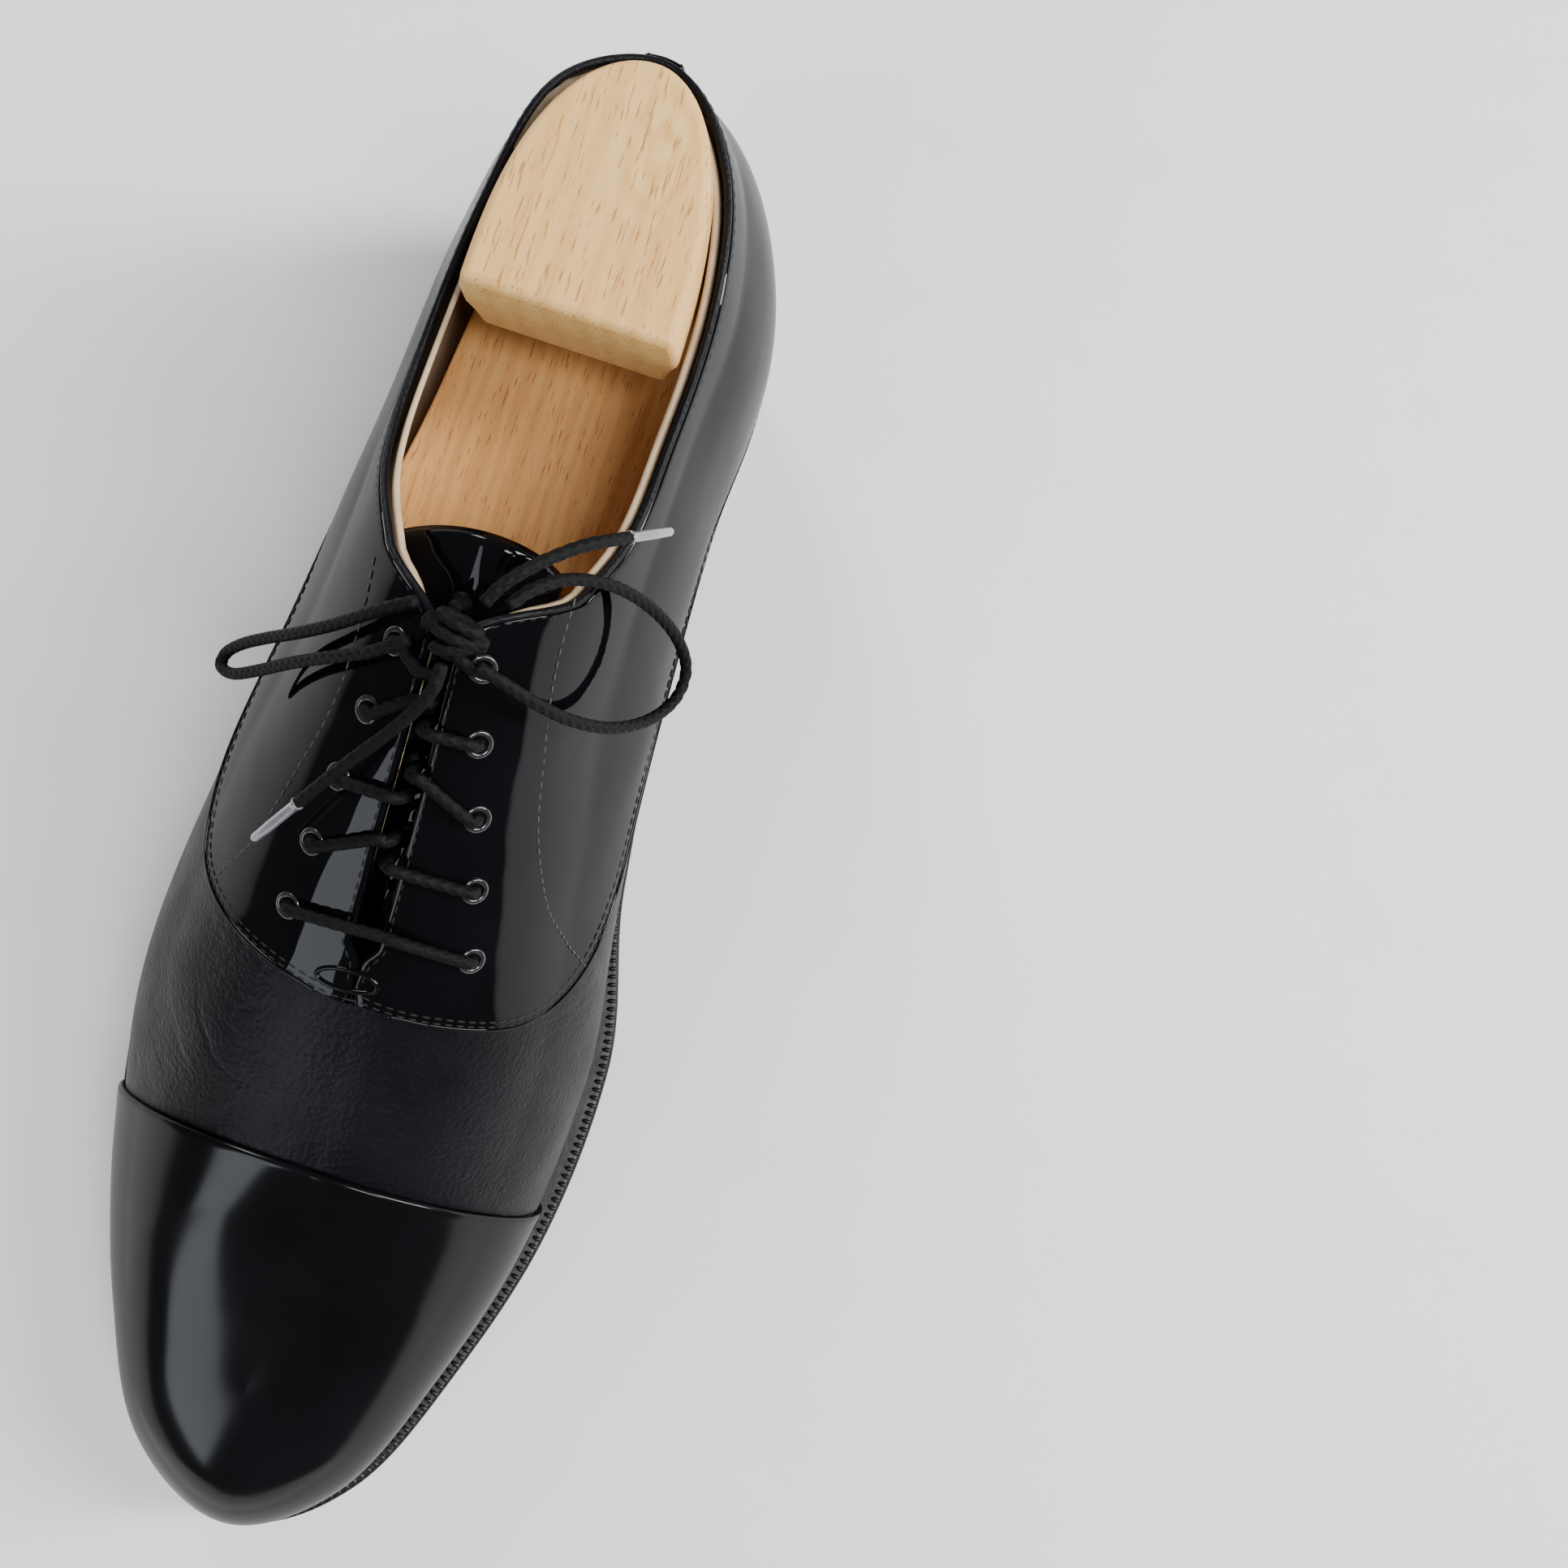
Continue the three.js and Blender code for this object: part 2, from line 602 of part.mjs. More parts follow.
const wrap = (from, to, count) => steps(-from, to, count);
add(
  "heel_counter",
  sheet(wrap(0.155, 0.155, 14), steps(0, 1, 5), (t, v, k) => {
    const top = quarterTop(Math.abs(t), t >= 0 ? 1 : -1) + 0.05;
    return skin(t, top + (1 - top) * v, k, -underThickness, underThickness);
  }),
  fibre,
);
add(
  "back_strip",
  sheet(wrap(0.022, 0.022, 4), steps(0, 1, 6), (t, v, k) => {
    const top = quarterTop(Math.abs(t), t >= 0 ? 1 : -1) + 0.035;
    return skin(t, top + (1 - top) * v, k, 2 * layerGap + overThickness, 1);
  }),
  patent,
);

const liningLow = -liningDepth;
const liningSplit = 0.6;
const liningRows = [0.03, 0.08, 0.14, 0.2, 0.27, 0.33, 0.37, rimEnd, 0.44, 0.49, 0.545, liningSplit];
const quarterLiningStations = [...liningRows.map((t) => -t).reverse(), 0, ...liningRows];
const liningShort = 0.009; // the lining stops this far short of the gap, clear of the lace
const liningEdge = (t) => {
  const side = t >= 0 ? 1 : -1;
  const short = Math.abs(t) >= rimEnd ? liningShort : 0;
  return quarterTop(Math.min(Math.abs(t), liningSplit), side) + short;
};
add(
  "quarter_lining",
  cut(
    sheet(quarterLiningStations, steps(0, 1, 5), (t, v, k) => {
      const a = liningEdge(t) + (1 - liningEdge(t)) * v;
      return skin(t, a, k, liningLow, liningThickness);
    }),
    ...eyelets.map(boreTool),
  ),
  tan,
);
add(
  "vamp_lining",
  sheet(
    [0, 0.68, ...toeRows.slice(1)],
    acrossLast,
    (u, a, k) => skin(toeStation(u, a, () => liningSplit + 0.004), a, k, liningLow, liningThickness),
    { folded: true },
  ),
  fibre,
);

const tongueLow = -(liningDepth + 2 * laceDiameter + 4.8);
add(
  "tongue",
  sheet(steps(0.365, 0.6, 9), steps(-1, 1, 6), (t, s, k) => {
    const spread = between([0.365, 0.385, 0.42, 0.6], [0.2, 0.27, 0.3, 0.24], t);
    return skin(t, gapCentre + spread * s, k, tongueLow, 1.3);
  }),
  patent,
);

// Piping along the topline, from one facing corner round the heel to the other
const bindingStations = [...steps(0.385, 0.05, 15), 0.02];
const bindingRadius = 0.8;
const bindingLift = 0.022; // above the cut edge, as a share of the girth
const rimAt = (t, side, up, out) => surface(t, side * (quarterTop(t, side) - up), out);
const binding = [
  ...bindingStations.map((t) => rimAt(t, 1, bindingLift, 0)),
  rimAt(0, 1, bindingLift, 0),
  ...[...bindingStations].reverse().map((t) => rimAt(t, -1, bindingLift, 0)),
];
add("topline_binding", tube(binding, bindingRadius, 46, 6), calf);

for (const e of eyelets) {
  const top = layerGap + overThickness + clearance;
  const bottom = -liningDepth - 0.4;
  const profile = [
    [eyeletBore, bottom],
    [barrel, bottom],
    [barrel, top],
    [eyeletFlange, top],
    [eyeletFlange - 0.3, top + 0.4],
    [barrel - 0.1, top + 0.4],
    [eyeletBore, bottom],
  ];
  add(`eyelet_${e.side}_${e.i + 1}`, placeOnSurface(turned(profile, 9), e.t, e.a), nickel);
}

// ---- lace: one cord; its two halves cross in the gap, dive through the eyelets and meet at the knot
const laceRadius = laceDiameter / 2;
const overLace = layerGap + overThickness + clearance + 0.4 + laceRadius + clearance;
const underLace = -(liningDepth + laceRadius + 6 * clearance);
const underHalf = { medial: underLace, lateral: underLace - laceDiameter - 2 * clearance };

// A point beside the place (t, a): shifted across the foot in mm, and raised off the last.
function beside(t, a, shift, out) {
  const girth = surface(t, a + 0.05, 0).distanceTo(surface(t, a - 0.05, 0)) / 0.1;
  return surface(t, a + shift / girth, out);
}

// Down through an eyelet, or up through the gap: a turn of small radius at either end.
// way is the side (1 or -1) that the cord lies on above, measured from the hole.
function passage(t, a, way, wayBelow, below) {
  return [
    beside(t, a, 2.1 * way, overLace),
    beside(t, a, 1 * way, overLace - 0.25),
    beside(t, a, 0.1 * way, overLace - 1.3),
    beside(t, a, 0, 0),
    beside(t, a, 0.1 * wayBelow, below + 1.3),
    beside(t, a, 1 * wayBelow, below + 0.25),
    beside(t, a, 2.1 * wayBelow, below),
  ];
}

const eyeletAt = (side, i) => eyelets.find((e) => e.side === side && e.i === i);
const other = { medial: "lateral", lateral: "medial" };
const sign = { medial: 1, lateral: -1 };
const crossingLead = [-0.002, 0.006]; // a crossing lies this far above its eyelets: top row, others
const crossingOffset = { medial: -0.0028 * laceDiameter, lateral: 0.0028 * laceDiameter };
const tieStation = { medial: 0.4, lateral: 0.39 }; // where the halves come up to the knot

function laceHalf(start) {
  const bottom = eyeletAt(start, eyeletCount - 1);
  const points = [beside(bottom.t, gapCentre, 0.4 * sign[start], overLace)];
  points.push(surface(bottom.t, (gapCentre + bottom.a) / 2, overLace));
  let side = start;
  for (let i = eyeletCount - 1; i >= 0; i -= 1) {
    const e = eyeletAt(side, i);
    points.push(...passage(e.t, e.a, -sign[side], -sign[side], underHalf[start]));
    const row = eyeletAt(side, Math.max(0, i - 1)).t - crossingLead[i > 1 ? 1 : 0];
    const t = i ? row + crossingOffset[start] : tieStation[start];
    const rise = passage(t, gapCentre, -sign[side], sign[side], underHalf[start]).reverse();
    points.push(...(i ? rise : rise.slice(0, 5)));
    side = other[side];
  }
  return points;
}

// A path straight from point to point, so that the cord's rings lie at its points.
class Route extends THREE.Curve {
  constructor(points) {
    super();
    this.points = points;
  }

  getPoint(t, target = new THREE.Vector3()) {
    const s = clamp(t, 0, 1) * (this.points.length - 1);
    const i = Math.min(Math.floor(s), this.points.length - 2);
    return target.lerpVectors(this.points[i], this.points[i + 1], s - i);
  }

  getUtoTmapping(u) {
    return u;
  }
}

function laceSection(radius, sides = 8) {
  const section = new THREE.Shape();
  for (let i = 0; i < sides; i += 1) {
    const angle = (2 * Math.PI * i) / sides;
    section[i ? "lineTo" : "moveTo"](radius * Math.cos(angle), radius * Math.sin(angle));
  }
  section.closePath();
  return section;
}

function cordAlong(points, radius) {
  const settings = { steps: points.length - 1, extrudePath: new Route(points), bevelEnabled: false };
  const g = new THREE.ExtrudeGeometry(laceSection(radius), settings);
  return closed(g.attributes.position.array, null);
}

add("lace_medial_half", cordAlong(laceHalf("medial"), laceRadius), laceBlack);
add("lace_lateral_half", cordAlong(laceHalf("lateral"), laceRadius), laceBlack);

const knotSpot = { t: 0.398, a: gapCentre + 0.03, out: overLace + 1.6 };
const knotSize = [4.2, 5.2, 2.8];
const knotBody = new THREE.SphereGeometry(1, 10, 7).scale(...knotSize).translate(0, 0, knotSpot.out);
const knot = closed(knotBody.attributes.position.array, Array.from(knotBody.index.array));
add("lace_knot", placeOnSurface(knot, knotSpot.t, knotSpot.a), laceBlack);

// The bow's loops and ends: points chosen by hand, from the knot outwards. They move with the knot,
// which is here when every size is the one above
const knotHome = new THREE.Vector3(-28.67, -0.45, 113.41);
const bowShift = surface(knotSpot.t, knotSpot.a, knotSpot.out).sub(knotHome);
const medialLoop = [
  [-24.6, 4, 111.5], [-23.6, 8.2, 109.6], [-22.6, 13.5, 104.5], [-22.4, 19.5, 97], [-24.2, 26, 88],
  [-28.5, 31.5, 79.5], [-34.5, 35, 74.5], [-40.5, 35.2, 75], [-44.6, 31.8, 81], [-46.6, 26, 90],
  [-46.2, 19.5, 99.5], [-43.6, 13.4, 107], [-39.6, 9, 111.6], [-35.4, 6, 113.2],
];
const lateralLoop = [
  [-31.4, -8.2, 112.8], [-29.8, -12.2, 110], [-27.6, -17.2, 105.2], [-25.4, -23, 98.4],
  [-23.4, -30.2, 89.5], [-22, -37.4, 79.8], [-20.4, -43.6, 71.4], [-18.4, -47.4, 66],
  [-15.8, -47.6, 65.4], [-14.8, -43.8, 69.8], [-16.2, -37.2, 78.4], [-18.2, -29.6, 89],
  [-20, -21.6, 99.2], [-21.6, -15, 106], [-23.4, -10.6, 110.3], [-25.2, -7.6, 112.2],
];
const medialEnd = [
  [-34.2, 2.4, 114.8], [-37.4, 4.2, 115.6], [-41, 7, 115.6], [-45, 10.6, 114.2], [-48.6, 14.2, 111.8],
  [-51.4, 17.4, 108.4], [-54, 20, 103.8],
];
const lateralEnd = [
  [-23.2, -1.4, 111.4], [-19.4, -1.6, 110.4], [-14.6, -4, 108], [-9.4, -8, 104.8],
  [-4.4, -12.2, 102], [0.4, -16, 98.8], [4.4, -19.4, 95],
];
const vectors = (list) => list.map(([x, y, z]) => new THREE.Vector3(x, y, z).add(bowShift));
const bow = {
  medial_loop: medialLoop,
  lateral_loop: lateralLoop,
  medial_end: medialEnd,
  lateral_end: lateralEnd,
};
for (const [name, list] of Object.entries(bow))
  add(`lace_${name}`, tube(vectors(list), laceRadius, Math.round(list.length * 1.5)), laceBlack);

for (const [side, list] of [["medial", medialEnd], ["lateral", lateralEnd]]) {
  const [before, last] = vectors(list.slice(-2));
  const way = last.clone().sub(before).normalize();
  const from = last.clone().addScaledVector(way, clearance);
  const to = from.clone().addScaledVector(way, agletLength);
  const body = rod(agletDiameter / 2, agletLength, 10);
  body.applyQuaternion(new THREE.Quaternion().setFromUnitVectors(new THREE.Vector3(0, 0, 1), way));
  body.translate(...from.add(to).multiplyScalar(0.5).toArray());
  add(`aglet_${side}`, body, clearPlastic);
}

// ---- shoe tree: forepart, board, and a heel block that tips up on a hinge
const treeGap = 1.6; // between the tree and the lining
const boardEdge = -(liningDepth + treeGap);
const boardFront = -51.5 * kx;
const boardStations = [0.05, 0.08, 0.12, 0.17, 0.22, 0.27, 0.31, 0.345];
const boardLow = boardTop - boardThickness;
const board = sheet(boardStations, steps(0, 1, 3), (t, s, k) => {
  const inner = outline(t / 2, boardEdge);
  const outer = outline(1 - t / 2, boardEdge);
  const x = Math.min(outer.x + (inner.x - outer.x) * s, boardFront);
  return new THREE.Vector3(x, outer.y + (inner.y - outer.y) * s, k ? boardTop : boardLow);
});
add("tree_board", board, warmWood);

const treeFloor = (x) => sockTop(x) + 1;
const foreStations = [0.27, 0.31, 0.35, 0.4, 0.46, 0.53, 0.6, 0.68, 0.76, 0.83, 0.89, 0.93];
const foreGap = liningDepth + 2 * laceDiameter + 0.6; // room for the tongue and the lace above it
const foreRings = foreStations.map((t) => {
  const upper = steps(0.97, -0.97, 12).map((a) => surface(t, a, -foreGap));
  const top = upper.map((p) => {
    p.z = Math.max(p.z - (t < 0.65 ? 7.5 : 0), treeFloor(p.x) + 0.6);
    return p;
  });
  const floor = [top[top.length - 1], top[0]].map((p) => new THREE.Vector3(p.x, p.y, treeFloor(p.x)));
  return [...top, ...floor];
});
const boardRoom = box(-200, boardFront + clearance, -80, 80, boardLow - clearance, 200);
add("tree_forepart", cut(loft(foreRings), boardRoom), warmWood);

const blockRing = ([z, front, back, inner, outer]) => {
  const points = [];
  for (const angle of steps(-90, 90, 14)) {
    const rad = (angle * Math.PI) / 180;
    const depth = Math.pow(Math.cos(rad), 0.75) * (front - back);
    const across = Math.sin(rad) * (angle > 0 ? inner : outer);
    points.push(new THREE.Vector3((front - depth) * kx, across * ky, z));
  }
  return points;
};
// height, front, back, inner half width, outer half width
const blockLevels = [
  [66, -108, -127, 12.5, 15],
  [80, -92, -129, 15, 17.5],
  [86, -87.5, -130.5, 16.5, 18.5],
  [98, -86.5, -130, 16.5, 18.5],
  [103, -86.3, -130, 16, 18.5],
  [106, -87.5, -129, 13.5, 17],
];
add("tree_heel_block", loft(blockLevels.map(blockRing)), paleWood);

const hinge = { x: -106 * kx, z: boardTop + 3, halfWidth: 12, knuckle: 2.6, leaf: 1.6 };
const leafBack = hinge.x - 18;
const leafFront = hinge.x - hinge.knuckle - 1;
function boreOf(length) {
  const g = rod(pinRadius + pinFit, length, 12).rotateX(Math.PI / 2);
  return g.translate(hinge.x, 0, hinge.z);
}

function knuckle(y0, y1) {
  const g = rod(hinge.knuckle, y1 - y0, 12).rotateX(Math.PI / 2);
  return g.translate(hinge.x, (y0 + y1) / 2, hinge.z);
}
const third = hinge.halfWidth * 0.45;
const blockLeafZ = blockLevels[0][0] - clearance - hinge.leaf;
add(
  "hinge_leaf_block",
  cut(
    join(
      box(leafBack, leafFront, -hinge.halfWidth, hinge.halfWidth, blockLeafZ, blockLeafZ + hinge.leaf),
      box(leafFront - 1, hinge.x, -third, third, blockLeafZ, blockLeafZ + hinge.leaf - 0.3),
      knuckle(-third, third),
    ),
    boreOf(2 * hinge.halfWidth),
  ),
  steel,
);
const boardLeafZ = boardTop + clearance;
const lug = (y0, y1) => [
  box(leafFront - 1, hinge.x, y0, y1, boardLeafZ, boardLeafZ + hinge.leaf - 0.3),
  knuckle(y0, y1),
];
const leafHigh = boardLeafZ + hinge.leaf;
const leafPlate = box(leafBack, leafFront, -hinge.halfWidth, hinge.halfWidth, boardLeafZ, leafHigh);
add(
  "hinge_leaf_board",
  cut(
    join(leafPlate, ...lug(-hinge.halfWidth, -third - 0.4), ...lug(third + 0.4, hinge.halfWidth)),
    boreOf(4 * hinge.halfWidth),
  ),
  steel,
);
const pin = rod(pinRadius, 2 * hinge.halfWidth + 1, 12).rotateX(Math.PI / 2);
add("hinge_pin", pin.translate(hinge.x, 0, hinge.z), steel);

// ---- the origin goes to the ground under the middle of the shoe, measured without its lace
const extent = new THREE.Box3();
for (const mesh of shoe.children) {
  if (/^(lace|aglet)/.test(mesh.name)) continue;
  mesh.geometry.computeBoundingBox();
  extent.union(mesh.geometry.boundingBox);
}
const middle = extent.getCenter(new THREE.Vector3());
shoe.position.set(-middle.x, -middle.y, 0);

export default shoe;
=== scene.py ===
import math

import bmesh
import bpy
import numpy as np
from mathutils import Matrix, Vector


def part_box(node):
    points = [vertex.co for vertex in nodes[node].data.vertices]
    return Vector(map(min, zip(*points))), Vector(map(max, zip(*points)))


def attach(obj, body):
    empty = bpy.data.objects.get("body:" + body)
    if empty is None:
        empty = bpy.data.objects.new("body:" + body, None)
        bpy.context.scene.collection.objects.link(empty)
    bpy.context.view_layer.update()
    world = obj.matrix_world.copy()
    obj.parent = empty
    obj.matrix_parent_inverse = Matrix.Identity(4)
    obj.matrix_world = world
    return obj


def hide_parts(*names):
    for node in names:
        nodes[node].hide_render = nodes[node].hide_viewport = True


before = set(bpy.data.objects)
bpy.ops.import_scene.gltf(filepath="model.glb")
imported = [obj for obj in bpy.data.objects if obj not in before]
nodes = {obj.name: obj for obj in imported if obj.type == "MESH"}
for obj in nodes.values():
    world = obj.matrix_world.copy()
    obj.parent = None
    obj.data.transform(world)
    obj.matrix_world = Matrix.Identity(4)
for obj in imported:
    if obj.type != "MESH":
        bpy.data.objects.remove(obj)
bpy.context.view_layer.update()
print("frame loaded:", len(nodes), "nodes")

# the last that the upper is stretched over, in mm; its own frame is shifted to the frame's below
last = {
    "stationX": [-146, -135, -108, -72, -34, 4, 42, 78, 110, 134, 145],
    "innerY": [0, 18, 29, 28.5, 30.5, 35, 40, 37.5, 28, 16.5, -2],
    "outerY": [0, -22, -30, -34, -40.5, -50, -54, -48, -36.5, -23, -2],
    "ridgeX": [-112, -104, -90, -62, -30, 4, 37.5, 70, 85.5, 98, 104],
    "ridgeY": [0, 0, 0, -0.5, -1.3, -1, -1.6, -3, -3.9, -4.1, -4.2],
    "ridgeZ": [122, 123.5, 121, 116.5, 107.5, 92.5, 76, 62, 53, 48.5, 47],
    "fullAcross": [2.6, 2.65, 2.55, 2.4, 1.95, 2.1, 2.1, 2.05, 2.3, 2.4, 2.4],
    "fullUp": [2, 2.07, 2, 1.9, 1.8, 1.82, 1.92, 2.07, 2.3, 2.4, 2.4],
    "bulge": [4, 4, 3.5, 3, 3, 2, 1.5, 1, 1, 1, 1],
    "heelHeight": 22, "foreClearance": 2.5, "springSlope": 0.085, "treadX": 60, "breastX": -78,
    "soleThick": 5, "weltThick": 3, "weltFore": 4.6, "weltWaist": 1.2,
}


def catmull(p0, p1, p2, p3, f):
    return 0.5 * (2 * p1 + (p2 - p0) * f + (2 * p0 - 5 * p1 + 4 * p2 - p3) * f**2
                  + (3 * p1 - p0 - 3 * p2 + p3) * f**3)


def along(key, t):  # value at station t, level at both ends
    v = np.array(last[key], float)
    n = len(v) - 1
    s = np.clip(t, 0, 1) * n
    i = np.minimum(np.floor(s).astype(int), n - 1)

    def at(k):
        j = np.abs(i + k)
        return v[np.where(j > n, 2 * n - j, j)]
    return catmull(at(-1), at(0), at(1), at(2), s - i)


def ringValue(v, phi):
    n = len(v)
    s = (phi % 1.0) * n
    i = np.floor(s).astype(int)
    return catmull(v[(i - 1) % n], v[i % n], v[(i + 1) % n], v[(i + 2) % n], s - i)


outlineX = np.array(last["stationX"] + last["stationX"][-2:0:-1], float)
outlineY = np.array(last["innerY"] + last["outerY"][-2:0:-1], float)


def outline(phi, out=0.0):
    phi = np.asarray(phi, float)
    e = 1e-4
    tx = ringValue(outlineX, phi + e) - ringValue(outlineX, phi - e)
    ty = ringValue(outlineY, phi + e) - ringValue(outlineY, phi - e)
    size = np.hypot(tx, ty)
    nx, ny = -ty / size, tx / size
    return ringValue(outlineX, phi) + nx * out, ringValue(outlineY, phi) + ny * out, nx, ny


def smooth(v):
    s = np.clip(v, 0, 1)
    return s * s * (3 - 2 * s)


def soleZ(x):
    w = smooth((x - last["breastX"]) / (30 - last["breastX"]))
    spring = np.maximum(0, x - last["treadX"]) * last["springSlope"]
    return last["heelHeight"] * (1 - w) + last["foreClearance"] * w + spring


def weltZ(x):
    return soleZ(x) + last["soleThick"]


def weltOut(x):
    return last["weltWaist"] + (last["weltFore"] - last["weltWaist"]) * smooth(x / 40)


featherLift = 4.1  # feather edge above the welt's underside


def lastPoint(t, a):  # t: heel 0 to toe 1; a: outer feather -1, ridge 0, inner feather 1
    t, a = np.broadcast_arrays(np.asarray(t, float), np.asarray(a, float))
    flip = (t > 1) | (t < 0)
    t = np.where(t > 1, 2 - t, np.abs(t))
    a = np.where(flip, -a, a)
    phi = np.where(a >= 0, t / 2, 1 - t / 2)
    fx, fy, nx, ny = outline(phi)
    angle = (1 - np.minimum(1, np.abs(a))) * math.pi / 2
    inward = 1 - np.power(np.maximum(0, np.cos(angle)), 2 / along("fullAcross", t))
    up = np.power(np.sin(angle), 2 / along("fullUp", t))
    swell = along("bulge", t) * np.sin(math.pi * np.clip(1.6 * up, 0, 1))
    base = weltZ(fx) + featherLift
    skirt = np.maximum(0, np.abs(a) - 1) * 100
    return np.stack([
        fx + (along("ridgeX", t) - fx) * inward + nx * swell,
        fy + (along("ridgeY", t) - fy) * inward + ny * swell,
        base + (along("ridgeZ", t) - base) * up - skirt], -1)


def lastNormal(t, a):
    e = 1.5e-3
    dt = lastPoint(t + e, a) - lastPoint(t - e, a)
    a = np.asarray(a, float)
    lo, hi = np.clip(a - e, -1, 1), np.clip(a + e, -1, 1)
    n = np.cross(dt, lastPoint(t, hi) - lastPoint(t, lo))
    return n / (np.linalg.norm(n, axis=-1, keepdims=True) + 1e-12)


def surface(t, a, out=0.0):
    return lastPoint(t, a) + lastNormal(t, a) * np.asarray(out)[..., None]


# the shift between the two frames comes from the outsole's own outline
edgePhi = np.linspace(0, 1, 1441)
edgeAt = outline(edgePhi)
edgeX, edgeY, _, _ = outline(edgePhi, weltOut(edgeAt[0]))
soleLow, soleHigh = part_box("outsole")
shift = np.array([
    (soleLow[0] + soleHigh[0]) * 500 - (edgeX.min() + edgeX.max()) / 2,
    (soleLow[1] + soleHigh[1]) * 500 - (edgeY.min() + edgeY.max()) / 2, 0.0])
print("frame shift, mm:", shift.round(3))


def toFrame(points):
    return (np.asarray(points, float) + shift) / 1000


# camera, first of all
camera = {"place": [6.24, 40.58, 361.5], "right": [-0.29211, 0.95182, 0.09334],
          "down": [0.95009, 0.29998, -0.08567], "ahead": [-0.10955, 0.06366, -0.99194],
          "lens": 35.69}
cameraData = bpy.data.cameras.new("camera")
cameraData.sensor_width = 36
cameraData.lens = camera["lens"]
cameraData.clip_start = 0.01
cameraObject = bpy.data.objects.new("camera", cameraData)
bpy.context.scene.collection.objects.link(cameraObject)
axes = [Vector(camera["right"]), -Vector(camera["down"]), -Vector(camera["ahead"])]
cameraObject.matrix_world = Matrix.Translation(toFrame(camera["place"])) @ Matrix(
    [[axis[i] for axis in axes] for i in range(3)]).to_4x4()
bpy.context.scene.camera = cameraObject


# materials
def material(name, colour, rough, **sockets):
    m = bpy.data.materials.new(name)
    m.use_nodes = True
    shader = m.node_tree.nodes["Principled BSDF"]
    shader.inputs["Base Color"].default_value = (*colour, 1)
    shader.inputs["Roughness"].default_value = rough
    for key, value in sockets.items():
        shader.inputs[key.replace("_", " ")].default_value = value
    return m, m.node_tree, shader


def addNode(tree, kind, inputs=None, **settings):
    node = tree.nodes.new(kind)
    for key, value in settings.items():
        setattr(node, key, value)
    for key, value in (inputs or {}).items():
        if isinstance(value, bpy.types.NodeSocket):
            tree.links.new(value, node.inputs[key])
        else:
            node.inputs[key].default_value = value
    return node


def coordinates(tree, scale=(1, 1, 1), centre=(0, 0, 0), turn=(0, 0, 0), uv=False):
    source = addNode(tree, "ShaderNodeTexCoord").outputs["UV" if uv else "Object"]
    mapping = addNode(tree, "ShaderNodeMapping", {
        "Vector": source, "Scale": scale, "Location": centre, "Rotation": turn})
    return mapping.outputs["Vector"]


def noise(tree, where, scale, detail=4, rough=0.55, distortion=0.0):
    return addNode(tree, "ShaderNodeTexNoise", {
        "Vector": where, "Scale": scale, "Detail": detail, "Roughness": rough,
        "Distortion": distortion}).outputs["Fac"]


def ramp(tree, value, stops):
    node = addNode(tree, "ShaderNodeValToRGB", {"Fac": value})
    band = node.color_ramp
    while len(band.elements) < len(stops):
        band.elements.new(0.5)
    for element, (place, colour) in zip(band.elements, stops):
        element.position = place
        element.color = (*colour, 1) if len(colour) == 3 else (colour[0],) * 3 + (1,)
    return node.outputs["Color"]


def bump(tree, shader, parts, socket="Normal"):  # parts: (height, strength, distance in m)
    normal = None
    for height, strength, distance in parts:
        inputs = {"Height": height, "Strength": strength, "Distance": distance}
        if normal is not None:
            inputs["Normal"] = normal
        normal = addNode(tree, "ShaderNodeBump", inputs).outputs["Normal"]
    tree.links.new(normal, shader.inputs[socket])
    return normal


def mathNode(tree, operation, first, second=0.0, clampIt=False):
    return addNode(tree, "ShaderNodeMath", {0: first, 1: second}, operation=operation,
                   use_clamp=clampIt).outputs[0]


def leather(name, dark, light, rough, roughSpread, grain, wave, **sockets):
    m, tree, shader = material(name, dark, rough, **sockets)
    where = coordinates(tree)
    cloud = noise(tree, where, 38, 5)
    tree.links.new(ramp(tree, cloud, [(0.35, dark), (0.72, light)]), shader.inputs["Base Color"])
    low, high = rough - roughSpread, rough + roughSpread
    wear = ramp(tree, noise(tree, where, 90, 6, 0.62), [(0.3, (low,)), (0.75, (high,))])
    tree.links.new(wear, shader.inputs["Roughness"])
    cells = addNode(tree, "ShaderNodeTexVoronoi", {"Vector": where, "Scale": grain["scale"]},
                    feature="SMOOTH_F1").outputs["Distance"]
    fine = noise(tree, where, grain["scale"] * 1.7, 3)
    broad = noise(tree, where, wave["scale"], 2, 0.4)
    parts = [(broad, wave["strength"], 0.004), (cells, grain["strength"], 0.0004),
             (fine, grain["strength"], 0.0002)]
    normal = bump(tree, shader, parts)
    if "Coat_Weight" in sockets:
        coatNormal = addNode(tree, "ShaderNodeBump", {
            "Height": broad, "Strength": wave["strength"], "Distance": 0.004})
        tree.links.new(coatNormal.outputs["Normal"], shader.inputs["Coat Normal"])
    return m, tree, shader, where, normal


patentBlack = leather(
    "patentBlack", (0.0015, 0.0015, 0.002), (0.003, 0.003, 0.004), 0.13, 0.05,
    {"scale": 1500, "strength": 0.05}, {"scale": 34, "strength": 0.22},
    Specular_IOR_Level=0.0, Coat_Weight=0.42, Coat_Roughness=0.025, Coat_IOR=1.5)[0]
capBlack = leather(
    "capBlack", (0.0015, 0.0015, 0.002), (0.004, 0.004, 0.005), 0.24, 0.07,
    {"scale": 1300, "strength": 0.10}, {"scale": 26, "strength": 0.10},
    Specular_IOR_Level=0.0, Coat_Weight=0.46, Coat_Roughness=0.16, Coat_IOR=1.5)[0]


